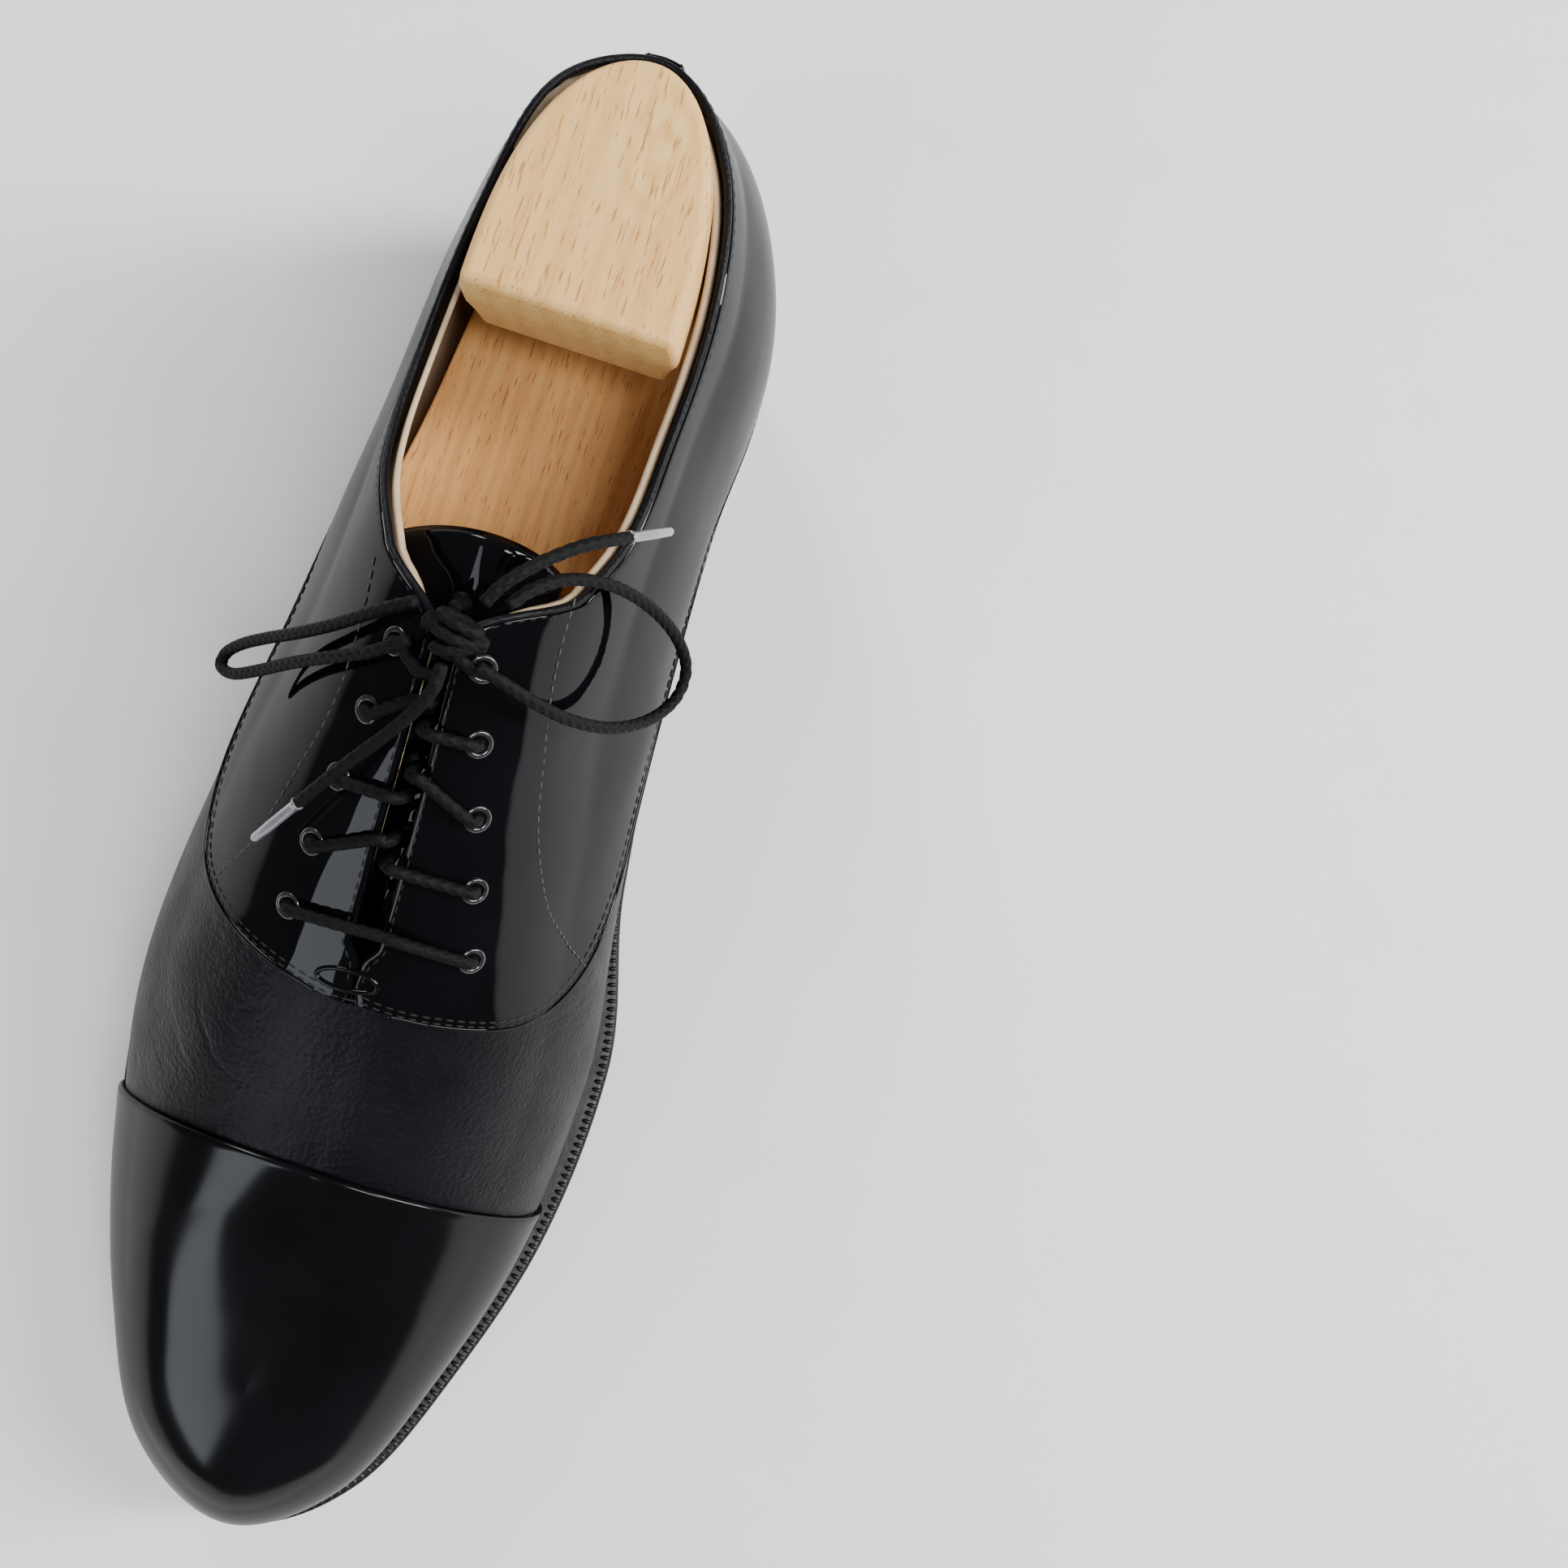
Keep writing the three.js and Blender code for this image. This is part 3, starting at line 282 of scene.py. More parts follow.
def creasedCalf():
    m, tree, shader, where, _ = leather(
        "calfSatin", (0.002, 0.002, 0.003), (0.005, 0.005, 0.008), 0.45, 0.07,
        {"scale": 1100, "strength": 0.32}, {"scale": 30, "strength": 0.12}, Specular_IOR_Level=0.15)
    # flex creases run across the foot where it bends, so they are long in Y and short in X
    across = coordinates(tree, scale=(1, 0.24, 0.55), turn=(0, 0, 0.2))
    folds = noise(tree, across, 62, 4, 0.55, 0.8)
    ridge = mathNode(tree, "ABSOLUTE", mathNode(tree, "SUBTRACT", folds, 0.5))
    crease = ramp(tree, ridge, [(0.0, (0,)), (0.055, (1,))])
    patch = ramp(tree, noise(tree, where, 16, 2), [(0.42, (0,)), (0.62, (1,))])
    amount = mathNode(tree, "MULTIPLY", mathNode(tree, "SUBTRACT", 1.0, crease), patch)
    old = shader.inputs["Normal"].links[0].from_socket
    node = addNode(tree, "ShaderNodeBump", {
        "Height": amount, "Strength": 0.22, "Distance": 0.0006, "Normal": old})
    node.invert = True
    tree.links.new(node.outputs["Normal"], shader.inputs["Normal"])
    return m


calfSatin = creasedCalf()


def plainMaterial(name, dark, light, rough, spread, scale, strength, distance=0.0003, stretch=(1, 1, 1),
                  **sockets):
    m, tree, shader = material(name, dark, rough, **sockets)
    where = coordinates(tree, scale=stretch)
    cloud = noise(tree, where, scale, 6, 0.6)
    tree.links.new(ramp(tree, cloud, [(0.3, dark), (0.7, light)]), shader.inputs["Base Color"])
    wear = ramp(tree, noise(tree, where, scale * 0.6, 4), [(0.3, (rough - spread,)), (0.7, (rough + spread,))])
    tree.links.new(wear, shader.inputs["Roughness"])
    bump(tree, shader, [(cloud, strength, distance),
                        (noise(tree, where, scale * 5, 3), strength, distance / 3)])
    return m


liningTan = plainMaterial("liningTan", (0.50, 0.35, 0.21), (0.64, 0.47, 0.30), 0.62, 0.08, 260, 0.25)
edgeBlack = plainMaterial("edgeBlack", (0.003, 0.003, 0.003), (0.009, 0.008, 0.008), 0.36, 0.08, 420, 0.25,
                          Specular_IOR_Level=0.3)
weltBlack = plainMaterial("weltBlack", (0.003, 0.003, 0.003), (0.008, 0.008, 0.008), 0.36, 0.08, 700, 0.2,
                          Specular_IOR_Level=0.35)
soleTan = plainMaterial("soleTan", (0.30, 0.18, 0.09), (0.42, 0.27, 0.15), 0.5, 0.1, 120, 0.3,
                        stretch=(0.5, 1, 1))
rubberBlack = plainMaterial("rubberBlack", (0.020, 0.020, 0.020), (0.036, 0.036, 0.036), 0.74, 0.06, 900, 0.4)
corkFill = plainMaterial("corkFill", (0.30, 0.18, 0.09), (0.55, 0.37, 0.20), 0.85, 0.05, 500, 0.7)
fibreBoard = plainMaterial("fibreBoard", (0.42, 0.30, 0.18), (0.56, 0.43, 0.29), 0.8, 0.06, 800, 0.5)
tapMetal = plainMaterial("tapMetal", (0.62, 0.62, 0.64), (0.76, 0.76, 0.77), 0.30, 0.09, 240, 0.12,
                         stretch=(6, 1, 1), Metallic=1.0)
screwSteel = plainMaterial("screwSteel", (0.42, 0.42, 0.44), (0.60, 0.60, 0.61), 0.28, 0.08, 500, 0.1,
                           Metallic=1.0)
eyeletDark = plainMaterial("eyeletDark", (0.010, 0.010, 0.011), (0.022, 0.022, 0.024), 0.2, 0.05, 900, 0.1,
                           Coat_Weight=0.6, Coat_Roughness=0.08)
threadBlack = plainMaterial("threadBlack", (0.004, 0.004, 0.005), (0.012, 0.012, 0.013), 0.6, 0.1, 3000, 0.4,
                            Specular_IOR_Level=0.3)
agletClear = plainMaterial("agletClear", (0.12, 0.12, 0.125), (0.24, 0.24, 0.25), 0.16, 0.05, 300, 0.06,
                           Coat_Weight=1.0, Coat_Roughness=0.05)


def laceMaterial():  # the braid itself is modelled; this adds its fibres, along the two lays
    m, tree, shader = material("laceBlack", (0.003, 0.003, 0.003), 0.6)
    fibres = []
    for turn in (0.6, -0.6):
        where = coordinates(tree, scale=(60, 9000, 1), turn=(0, 0, turn), uv=True)
        fibres.append(noise(tree, where, 1.0, 2))
    both = mathNode(tree, "MAXIMUM", *fibres)
    tree.links.new(ramp(tree, both, [(0.4, (0.0015, 0.0015, 0.0015)), (0.8, (0.008, 0.008, 0.009))]),
                   shader.inputs["Base Color"])
    bump(tree, shader, [(both, 0.35, 0.00012)])
    shader.inputs["Specular IOR Level"].default_value = 0.12
    return m


laceBlack = laceMaterial()


def wood(name, pale, deep, pore, knot=None, lines=1.0):
    m, tree, shader = material(name, pale, 0.46)
    grain = coordinates(tree, scale=(0.09, 1, 1))
    rings = addNode(tree, "ShaderNodeTexWave", {
        "Vector": grain, "Scale": 60 * lines, "Distortion": 9.0, "Detail": 4.0, "Detail Scale": 1.6,
        "Detail Roughness": 0.65}, wave_type="BANDS", bands_direction="Y").outputs["Fac"]
    tone = mathNode(tree, "MULTIPLY_ADD", rings, 0.28)
    tone.node.inputs[2].default_value = 0.0
    cloud = noise(tree, coordinates(tree, scale=(0.4, 1, 1)), 30, 4)
    tree.links.new(mathNode(tree, "MULTIPLY", cloud, 0.75), tone.node.inputs[2])
    if knot:
        centre = addNode(tree, "ShaderNodeVectorMath", {
            0: addNode(tree, "ShaderNodeTexCoord").outputs["Object"], 1: knot["place"]},
            operation="SUBTRACT").outputs[0]
        squeezed = addNode(tree, "ShaderNodeVectorMath", {0: centre, 1: (0.55, 1, 0.0)},
                           operation="MULTIPLY").outputs[0]
        distance = addNode(tree, "ShaderNodeVectorMath", {0: squeezed}, operation="LENGTH").outputs["Value"]
        wobble = mathNode(tree, "MULTIPLY_ADD", noise(tree, squeezed, 160, 3), 0.004)
        tree.links.new(distance, wobble.node.inputs[2])
        swirl = mathNode(tree, "SINE", mathNode(tree, "MULTIPLY", wobble, 2 * math.pi / knot["pitch"]))
        inside = ramp(tree, mathNode(tree, "DIVIDE", distance, knot["radius"]), [(0.25, (1,)), (1.0, (0,))])
        swirlTone = mathNode(tree, "MULTIPLY", mathNode(tree, "MULTIPLY", swirl, 0.24), inside)
        toned = mathNode(tree, "ADD", tone, swirlTone)
    else:
        toned = tone
    base = ramp(tree, toned, [(0.2, pale), (0.85, deep)])
    streak = noise(tree, coordinates(tree, scale=(190, 2100, 2100)), 1.0, 2, 0.5)
    pores = ramp(tree, streak, [(0.6, (0,)), (0.68, (1,))])
    mixed = addNode(tree, "ShaderNodeMix", {"A": base, "B": (*pore, 1)}, data_type="RGBA")
    tree.links.new(mathNode(tree, "MULTIPLY", pores, 0.75), mixed.inputs["Factor"])
    tree.links.new(mixed.outputs["Result"], shader.inputs["Base Color"])
    tree.links.new(ramp(tree, cloud, [(0.3, (0.40,)), (0.7, (0.52,))]), shader.inputs["Roughness"])
    bump(tree, shader, [(pores, -0.25, 0.0003), (rings, 0.06, 0.0004)])
    return m


knotPlace = toFrame([-119, 5, 106])
paleWood = wood("paleWood", (0.84, 0.53, 0.20), (0.70, 0.38, 0.11), (0.34, 0.14, 0.035),
                {"place": tuple(knotPlace), "radius": 0.010, "pitch": 0.0034})
warmWood = wood("warmWood", (0.82, 0.47, 0.17), (0.64, 0.30, 0.085), (0.34, 0.13, 0.03), lines=1.5)
print("materials made")


# mesh helpers
def makeObject(name, vertices, faces, mats, body="shoe", replaced=(), uvs=None,
               merge=0.0, faceMaterials=None, recalc=True):
    mesh = bpy.data.meshes.new(name)
    mesh.from_pydata([tuple(v) for v in vertices], [], [tuple(f) for f in faces])
    if uvs is not None:
        layer = mesh.uv_layers.new(name="UVMap")
        flat = np.array([uvs[v] for f in faces for v in f], float).ravel()
        layer.data.foreach_set("uv", flat)
    for m in mats if isinstance(mats, (list, tuple)) else [mats]:
        mesh.materials.append(m)
    if faceMaterials is not None:
        mesh.polygons.foreach_set("material_index", faceMaterials)
    if merge or recalc:
        bm = bmesh.new()
        bm.from_mesh(mesh)
        if merge:
            bmesh.ops.remove_doubles(bm, verts=bm.verts, dist=merge)
            bmesh.ops.dissolve_degenerate(bm, edges=bm.edges, dist=1e-7)
        if recalc:
            bmesh.ops.recalc_face_normals(bm, faces=bm.faces)
        bm.to_mesh(mesh)
        bm.free()
    mesh.polygons.foreach_set("use_smooth", [True] * len(mesh.polygons))
    mesh.update()
    obj = bpy.data.objects.new(name, mesh)
    bpy.context.scene.collection.objects.link(obj)
    finishPiece(obj, body, replaced)
    return obj


def finishPiece(obj, body, replaced=()):
    if body:
        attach(obj, body)
    if replaced:
        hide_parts(*replaced)


def sharpen(obj, angle=35):
    obj.data.set_sharp_from_angle(angle=math.radians(angle))


def spread(count, edge=(0.0, 0.004, 0.012, 0.026, 0.045)):  # fractions, close together near both ends
    inner = np.linspace(edge[-1], 1 - edge[-1], count)
    return np.concatenate([edge[:-1], inner, 1 - np.array(edge[:-1])[::-1]])


def gridFaces(nu, nv, offset=0, closeU=False):
    i, j = np.meshgrid(np.arange(nu if closeU else nu - 1), np.arange(nv - 1), indexing="ij")
    i2 = (i + 1) % nu
    quads = np.stack([i * nv + j, i2 * nv + j, i2 * nv + j + 1, i * nv + j + 1], -1).reshape(-1, 4)
    return quads + offset


def shell(name, gridT, gridA, low, thick, mat, replaced, edge=0.7, openU=(False, False), wave=0.0,
          softenPole=0, grid=None):
    # a leather sheet on the last with rounded edges; openU marks an end that has no edge of its own
    inner = surface(gridT, gridA, low) if grid is None else grid
    du = np.cumsum(np.pad(np.linalg.norm(np.diff(inner, axis=0), axis=-1), ((1, 0), (0, 0))), axis=0)
    dv = np.cumsum(np.pad(np.linalg.norm(np.diff(inner, axis=1), axis=-1), ((0, 0), (1, 0))), axis=1)
    near = np.minimum(dv, dv[:, -1:] - dv)
    if not openU[0]:
        near = np.minimum(near, du)
    if not openU[1]:
        near = np.minimum(near, du[-1:] - du)
    q = 1 - np.clip(near / edge, 0, 1)
    height = thick * np.sqrt(np.maximum(0, 1 - q * q))
    if wave:
        x, y, z = inner[..., 0], inner[..., 1], inner[..., 2]
        ripple = (np.sin(x / 6.1 + z / 9) * np.sin(y / 7.3 + x / 15)
                  + 0.6 * np.sin(z / 5.2 - x / 8.7 + 1.3))
        height = height + wave * ripple * np.clip(near / 6, 0, 1)
    if grid is None:
        outer = surface(gridT, gridA, low + height)
    else:
        normals = np.cross(np.gradient(inner, axis=0), np.gradient(inner, axis=1))
        normals /= np.linalg.norm(normals, axis=-1, keepdims=True)
        outer = inner + normals * height[..., None]
    if softenPole:
        outer = softPole(outer, softenPole)
        inner = softPole(inner, softenPole)
    nu, nv = inner.shape[:2]
    vertices = toFrame(np.concatenate([outer.reshape(-1, 3), inner.reshape(-1, 3)]))
    faces = np.concatenate([gridFaces(nu, nv), gridFaces(nu, nv, nu * nv)[:, ::-1]])
    return makeObject(name, vertices, faces.tolist(), mat, "shoe", replaced, merge=2e-5)


def softPole(grid, rounds):  # evens out the ridge's end, where the stations of the toe meet
    g = grid.copy()
    ridgeEnd = g[-1, g.shape[1] // 2].copy()
    weight = np.clip(1.35 - np.linalg.norm(g - ridgeEnd, axis=-1) / 22, 0, 1)[..., None] * 0.7
    beside = np.abs(np.arange(g.shape[1]) - g.shape[1] // 2)[None, :, None] / 13  # and along the ridge
    edgeFade = np.clip(np.arange(len(g)) / 14 - 0.25, 0, 1)[:, None, None]
    weight = np.maximum(weight, np.clip(1 - beside, 0, 1) * 0.5) * edgeFade
    for _ in range(rounds):
        pad = np.concatenate([g[:1] * 2 - g[1:2], g, g[-2:-1, ::-1]])  # past the fold lies the other side
        mean = (pad[:-2, 1:-1] + pad[2:, 1:-1] + pad[1:-1, :-2] + pad[1:-1, 2:]) / 4
        g[:, 1:-1] += (mean - g[:, 1:-1]) * weight[:, 1:-1]
        g[-1] = (g[-1] + g[-1, ::-1]) / 2
    return g


def bake(obj, name, mat, body="shoe"):  # a modifier's result as a plain mesh
    bpy.context.view_layer.update()
    graph = bpy.context.evaluated_depsgraph_get()
    mesh = bpy.data.meshes.new_from_object(obj.evaluated_get(graph))
    mesh.name = name
    bpy.data.objects.remove(obj)
    if not mesh.materials:
        mesh.materials.append(mat)
    made = bpy.data.objects.new(name, mesh)
    bpy.context.scene.collection.objects.link(made)
    finishPiece(made, body)
    return made


# Geometry Nodes: a row of small rounded bars along a line, for stitches and welt ribs
def treeInputs(tree, entries):
    sockets = {}
    tree.interface.new_socket("Geometry", in_out="INPUT", socket_type="NodeSocketGeometry")
    for name, kind, value in entries:
        socket = tree.interface.new_socket(name, in_out="INPUT", socket_type=kind)
        if value is not None:
            socket.default_value = value
        sockets[name] = socket.identifier
    tree.interface.new_socket("Geometry", in_out="OUTPUT", socket_type="NodeSocketGeometry")
    return sockets


def rowTree():
    tree = bpy.data.node_groups.new("rowOfBars", "GeometryNodeTree")
    sockets = treeInputs(tree, [("Pitch", "NodeSocketFloat", 0.002), ("Bar", "NodeSocketVector", None),
                                ("Surface", "NodeSocketMaterial", None)])
    start = tree.nodes.new("NodeGroupInput")
    curve = addNode(tree, "GeometryNodeMeshToCurve", {"Mesh": start.outputs["Geometry"]})
    spaced = addNode(tree, "GeometryNodeResampleCurve", {
        "Curve": curve.outputs[0], "Length": start.outputs["Pitch"]}, mode="LENGTH")
    bar = addNode(tree, "GeometryNodeMeshUVSphere", {"Segments": 8, "Rings": 5, "Radius": 0.5})
    tangent = tree.nodes.new("GeometryNodeInputTangent")
    up = addNode(tree, "GeometryNodeInputNamedAttribute", {"Name": "up"}, data_type="FLOAT_VECTOR")
    along1 = addNode(tree, "FunctionNodeAlignRotationToVector", {"Vector": tangent.outputs[0]}, axis="X")
    along2 = addNode(tree, "FunctionNodeAlignRotationToVector", {
        "Rotation": along1.outputs[0], "Vector": up.outputs["Attribute"]}, axis="Z", pivot_axis="X")
    placed = addNode(tree, "GeometryNodeInstanceOnPoints", {
        "Points": spaced.outputs[0], "Instance": bar.outputs["Mesh"], "Rotation": along2.outputs[0],
        "Scale": start.outputs["Bar"]})
    real = addNode(tree, "GeometryNodeRealizeInstances", {"Geometry": placed.outputs[0]})
    soft = addNode(tree, "GeometryNodeSetShadeSmooth", {"Geometry": real.outputs[0]})
    coloured = addNode(tree, "GeometryNodeSetMaterial", {
        "Geometry": soft.outputs[0], "Material": start.outputs["Surface"]})
    end = tree.nodes.new("NodeGroupOutput")
    tree.links.new(coloured.outputs[0], end.inputs["Geometry"])
    return tree, sockets


def ringTree():
    tree = bpy.data.node_groups.new("eyeletRings", "GeometryNodeTree")
    sockets = treeInputs(tree, [("Radius", "NodeSocketFloat", 0.0024), ("Wire", "NodeSocketFloat", 0.0006),
                                ("Flat", "NodeSocketFloat", 0.6), ("Surface", "NodeSocketMaterial", None)])
    start = tree.nodes.new("NodeGroupInput")
    circle = addNode(tree, "GeometryNodeCurvePrimitiveCircle", {
        "Resolution": 32, "Radius": start.outputs["Radius"]})
    wire = addNode(tree, "GeometryNodeCurvePrimitiveCircle", {
        "Resolution": 10, "Radius": start.outputs["Wire"]})
    rim = addNode(tree, "GeometryNodeCurveToMesh", {
        "Curve": circle.outputs[0], "Profile Curve": wire.outputs[0]})
    up = addNode(tree, "GeometryNodeInputNamedAttribute", {"Name": "up"}, data_type="FLOAT_VECTOR")
    turn = addNode(tree, "FunctionNodeAlignRotationToVector", {"Vector": up.outputs["Attribute"]}, axis="Z")
    size = addNode(tree, "ShaderNodeCombineXYZ", {"X": 1.0, "Y": 1.0, "Z": start.outputs["Flat"]})
    placed = addNode(tree, "GeometryNodeInstanceOnPoints", {
        "Points": start.outputs["Geometry"], "Instance": rim.outputs[0], "Rotation": turn.outputs[0],
        "Scale": size.outputs[0]})
    real = addNode(tree, "GeometryNodeRealizeInstances", {"Geometry": placed.outputs[0]})
    soft = addNode(tree, "GeometryNodeSetShadeSmooth", {"Geometry": real.outputs[0]})
    coloured = addNode(tree, "GeometryNodeSetMaterial", {
        "Geometry": soft.outputs[0], "Material": start.outputs["Surface"]})
    end = tree.nodes.new("NodeGroupOutput")
    tree.links.new(coloured.outputs[0], end.inputs["Geometry"])
    return tree, sockets


rowOfBars = rowTree()
eyeletRings = ringTree()


def guide(name, chains):  # lines (points, normals) as one mesh of edges with an "up" attribute
    vertices, ups, edges = [], [], []
    for points, normals in chains:
        first = len(vertices)
        vertices += [tuple(p) for p in toFrame(points)]
        ups += [tuple(n) for n in normals]
        edges += [(first + k, first + k + 1) for k in range(len(points) - 1)]
    mesh = bpy.data.meshes.new(name)
    mesh.from_pydata(vertices, edges if len(chains[0][0]) > 1 else [], [])
    layer = mesh.attributes.new("up", "FLOAT_VECTOR", "POINT")
    layer.data.foreach_set("vector", np.array(ups, float).ravel())
    obj = bpy.data.objects.new(name, mesh)
    bpy.context.scene.collection.objects.link(obj)
    return obj


def grow(obj, tree, values, name, mat):
    group, sockets = tree
    modifier = obj.modifiers.new("rows", "NODES")
    modifier.node_group = group
    for key, value in values.items():
        modifier[sockets[key]] = value
    modifier[sockets["Surface"]] = mat
    return bake(obj, name, mat)


# seams
seams = {"innerT": [0.16, 0.28, 0.4, 0.5, 0.548, 0.575, 0.588, 0.593, 0.594],
         "innerA": [1, 0.86, 0.8, 0.735, 0.62, 0.45, 0.22, 0.06, -0.022],
         "outerT": [0.16, 0.28, 0.39, 0.475, 0.53, 0.562, 0.583, 0.592, 0.594],
         "outerA": [1, 0.83, 0.74, 0.66, 0.555, 0.375, 0.18, 0.07, 0.022],
         "rimT": [0, 0.06, 0.13, 0.2, 0.27, 0.33, 0.37],
         "rimInner": [0.42, 0.44, 0.465, 0.455, 0.478, 0.455, 0.35],
         "rimOuter": [0.42, 0.425, 0.44, 0.495, 0.54, 0.45, 0.29],
         "rimEnd": 0.403, "gapCentre": -0.022, "gapWidth": 3.8, "gapEnd": 0.566,
         "cap": 0.684, "lap": 0.024, "split": 0.5, "join": 0.584}


def chain(ts, values, count=400):  # a smooth line through points (t, a), resampled evenly
    p = np.stack([ts, values], -1).astype(float)
    p = np.concatenate([2 * p[:1] - p[1:2], p, 2 * p[-1:] - p[-2:-1]])
    out = [catmull(p[i], p[i + 1], p[i + 2], p[i + 3], f)
           for i in range(len(p) - 3) for f in np.linspace(0, 1, 24, endpoint=False)]
    out.append(p[-2])
    out = np.array(out)
    world = surface(out[:, 0], out[:, 1])
    length = np.concatenate([[0], np.cumsum(np.linalg.norm(np.diff(world, axis=0), axis=1))])
    s = np.linspace(0, length[-1], count)
    return np.stack([np.interp(s, length, out[:, 0]), np.interp(s, length, out[:, 1])], -1)


seamLine = {1: chain(seams["innerT"], seams["innerA"]),
            -1: chain(seams["outerT"], [-a for a in seams["outerA"]])}
rimLine = {1: chain(seams["rimT"], seams["rimInner"]), -1: chain(seams["rimT"], seams["rimOuter"])}


def gapHalf(t):
    girth = np.linalg.norm(lastPoint(t, 0.1) - lastPoint(t, -0.1), axis=-1) / 0.2
    width = seams["gapWidth"] / 2 * (1 - smooth((t - seams["gapEnd"] + 0.008) / 0.012)) + 0.12
    return width / girth


def quarterTop(t, side):  # the topline, then the edge of the facing; as |a|
    t = np.asarray(t, float)
    facing = side * seams["gapCentre"] + gapHalf(t)
    rim = np.interp(t, rimLine[side][:, 0], rimLine[side][:, 1])
    lastT = seams["rimT"][-1]
    f = smooth((t - lastT) / (seams["rimEnd"] - lastT)) * 0.6 + 0.4 * np.clip(
        (t - lastT) / (seams["rimEnd"] - lastT), 0, 1)
    start = rimLine[side][-1, 1]
    end = side * seams["gapCentre"] + gapHalf(np.asarray(seams["rimEnd"]))
    corner = start * (1 - f) + end * f
    return np.where(t <= lastT, rim, np.where(t >= seams["rimEnd"], facing, corner))


def seamSplit(side):
    line = seamLine[side]
    return int(np.argmax(line[:, 0] >= seams["split"]))


def quarterPoint(t, v, side):  # v runs from the top edge (0) to the seam (1); returns (t, a)
    top = quarterTop(t, side) * side
    line = seamLine[side]
    cut = seamSplit(side)
    lowA = np.interp(t, line[:, 0], line[:, 1])
    lowA = np.where(t < line[0, 0], 1.014 * side, lowA)
    f = np.clip((t - seams["split"]) / (seams["join"] - seams["split"]), 0, 1)
    at = cut + f * (len(line) - 1 - cut)
    k = np.arange(len(line))
    frontT, frontA = np.interp(at, k, line[:, 0]), np.interp(at, k, line[:, 1])
    lowT = np.where(t > seams["split"], frontT, t)
    lowA = np.where(t > seams["split"], frontA, lowA)
    return t + (lowT - t) * v, top + (lowA - top) * v


def capCurve():  # the cap's edge as one even arc across the foot
    a = np.linspace(-1, 1, 121)
    t = seams["cap"] + 0.005 * a - 0.011 * a * a
    p = lastPoint(t, a)
    arc = np.polyfit(p[:, 1], p[:, 0], 2)
    for _ in range(12):
        p, q = lastPoint(t, a), lastPoint(t + 0.002, a)
        slope = (q[:, 0] - p[:, 0] - np.polyval(arc, q[:, 1]) + np.polyval(arc, p[:, 1])) / 0.002
        t = t + 0.8 * (np.polyval(arc, p[:, 1]) - p[:, 0]) / slope
    return a, t


capA, capT = capCurve()


def capLine(a):
    return np.interp(a, capA, capT)


def seamT(a):
    inner, outer = seamLine[1], seamLine[-1]
    tIn = np.interp(np.abs(a), inner[::-1, 1], inner[::-1, 0])
    tOut = np.interp(np.abs(a), -outer[::-1, 1], outer[::-1, 0])
    return np.where(a >= 0, tIn, tOut)


# upper
upper = {"over": 1.15, "overLow": 0.05, "under": 1.2, "liningLow": -2.3, "liningThick": 1.0,
         "rows": 150, "columns": 30, "ripple": 0.10, "capRipple": 0.04}

quarterRows = np.concatenate([np.linspace(0, 0.37, 90), np.linspace(0.373, 0.43, 34),
                              np.linspace(0.434, seams["join"], 66)])
for sideName, side in (("medial", 1), ("lateral", -1)):
    gridT, gridV = np.meshgrid(quarterRows, spread(upper["columns"]), indexing="ij")
    tt, aa = quarterPoint(gridT, gridV, side)
    shell("quarter_" + sideName + "_skin", tt, aa, upper["overLow"], upper["over"], patentBlack,
          ["quarter_" + sideName], openU=(True, False), wave=upper["ripple"])

sheetA = np.concatenate([[-1.014], np.linspace(-1, 1, 121), [1.014]])
gridU, gridA = np.meshgrid(np.concatenate([[0, 0.003, 0.008, 0.016], np.linspace(0.028, 1, 80)]), sheetA,
                   indexing="ij")
start = capLine(np.clip(gridA, -1, 1))
shell("toe_cap_skin", start + (1 - start) * gridU, gridA, upper["overLow"], upper["over"], capBlack,
      ["toe_cap"], openU=(False, True), wave=upper["capRipple"], softenPole=260)

gridU, gridA = np.meshgrid(np.linspace(0, 1, 130), sheetA, indexing="ij")
clippedA = np.clip(gridA, -1, 1)
low = np.maximum(0.165, seamT(clippedA) - seams["lap"])
shell("vamp_skin", low + (capLine(clippedA) + seams["lap"] - low) * gridU, gridA,
      -upper["under"], upper["under"],
      calfSatin, ["vamp"], wave=0.12)

gridT, gridV = np.meshgrid(np.linspace(-0.022, 0.022, 17), spread(50), indexing="ij")
topA = np.where(gridT >= 0, quarterTop(np.abs(gridT), 1), quarterTop(np.abs(gridT), -1)) + 0.035
shell("back_strip_skin", gridT, topA + (1.014 - topA) * gridV, upper["over"] + 0.1, 0.9, patentBlack,
      ["back_strip"])

# lining: one sheet from the inner facing round the heel to the outer one
rowsT = np.concatenate([np.linspace(0.6, 0.005, 130)])
gridT = np.concatenate([rowsT, [0], -rowsT[::-1]])
topA = np.where(gridT >= 0, quarterTop(np.minimum(np.abs(gridT), 0.58), 1),
                quarterTop(np.minimum(np.abs(gridT), 0.58), -1))
topA = topA + np.interp(np.abs(gridT), [0, 0.385, 0.4, 0.6], [-0.008, -0.008, 0.05, 0.05])
wideT, gridV = np.meshgrid(gridT, spread(24), indexing="ij")
wideA = topA[:, None] + (1.0 - topA[:, None]) * gridV
shell("lining_skin", wideT, wideA, upper["liningLow"], upper["liningThick"], liningTan,
      ["quarter_lining"], edge=0.5)

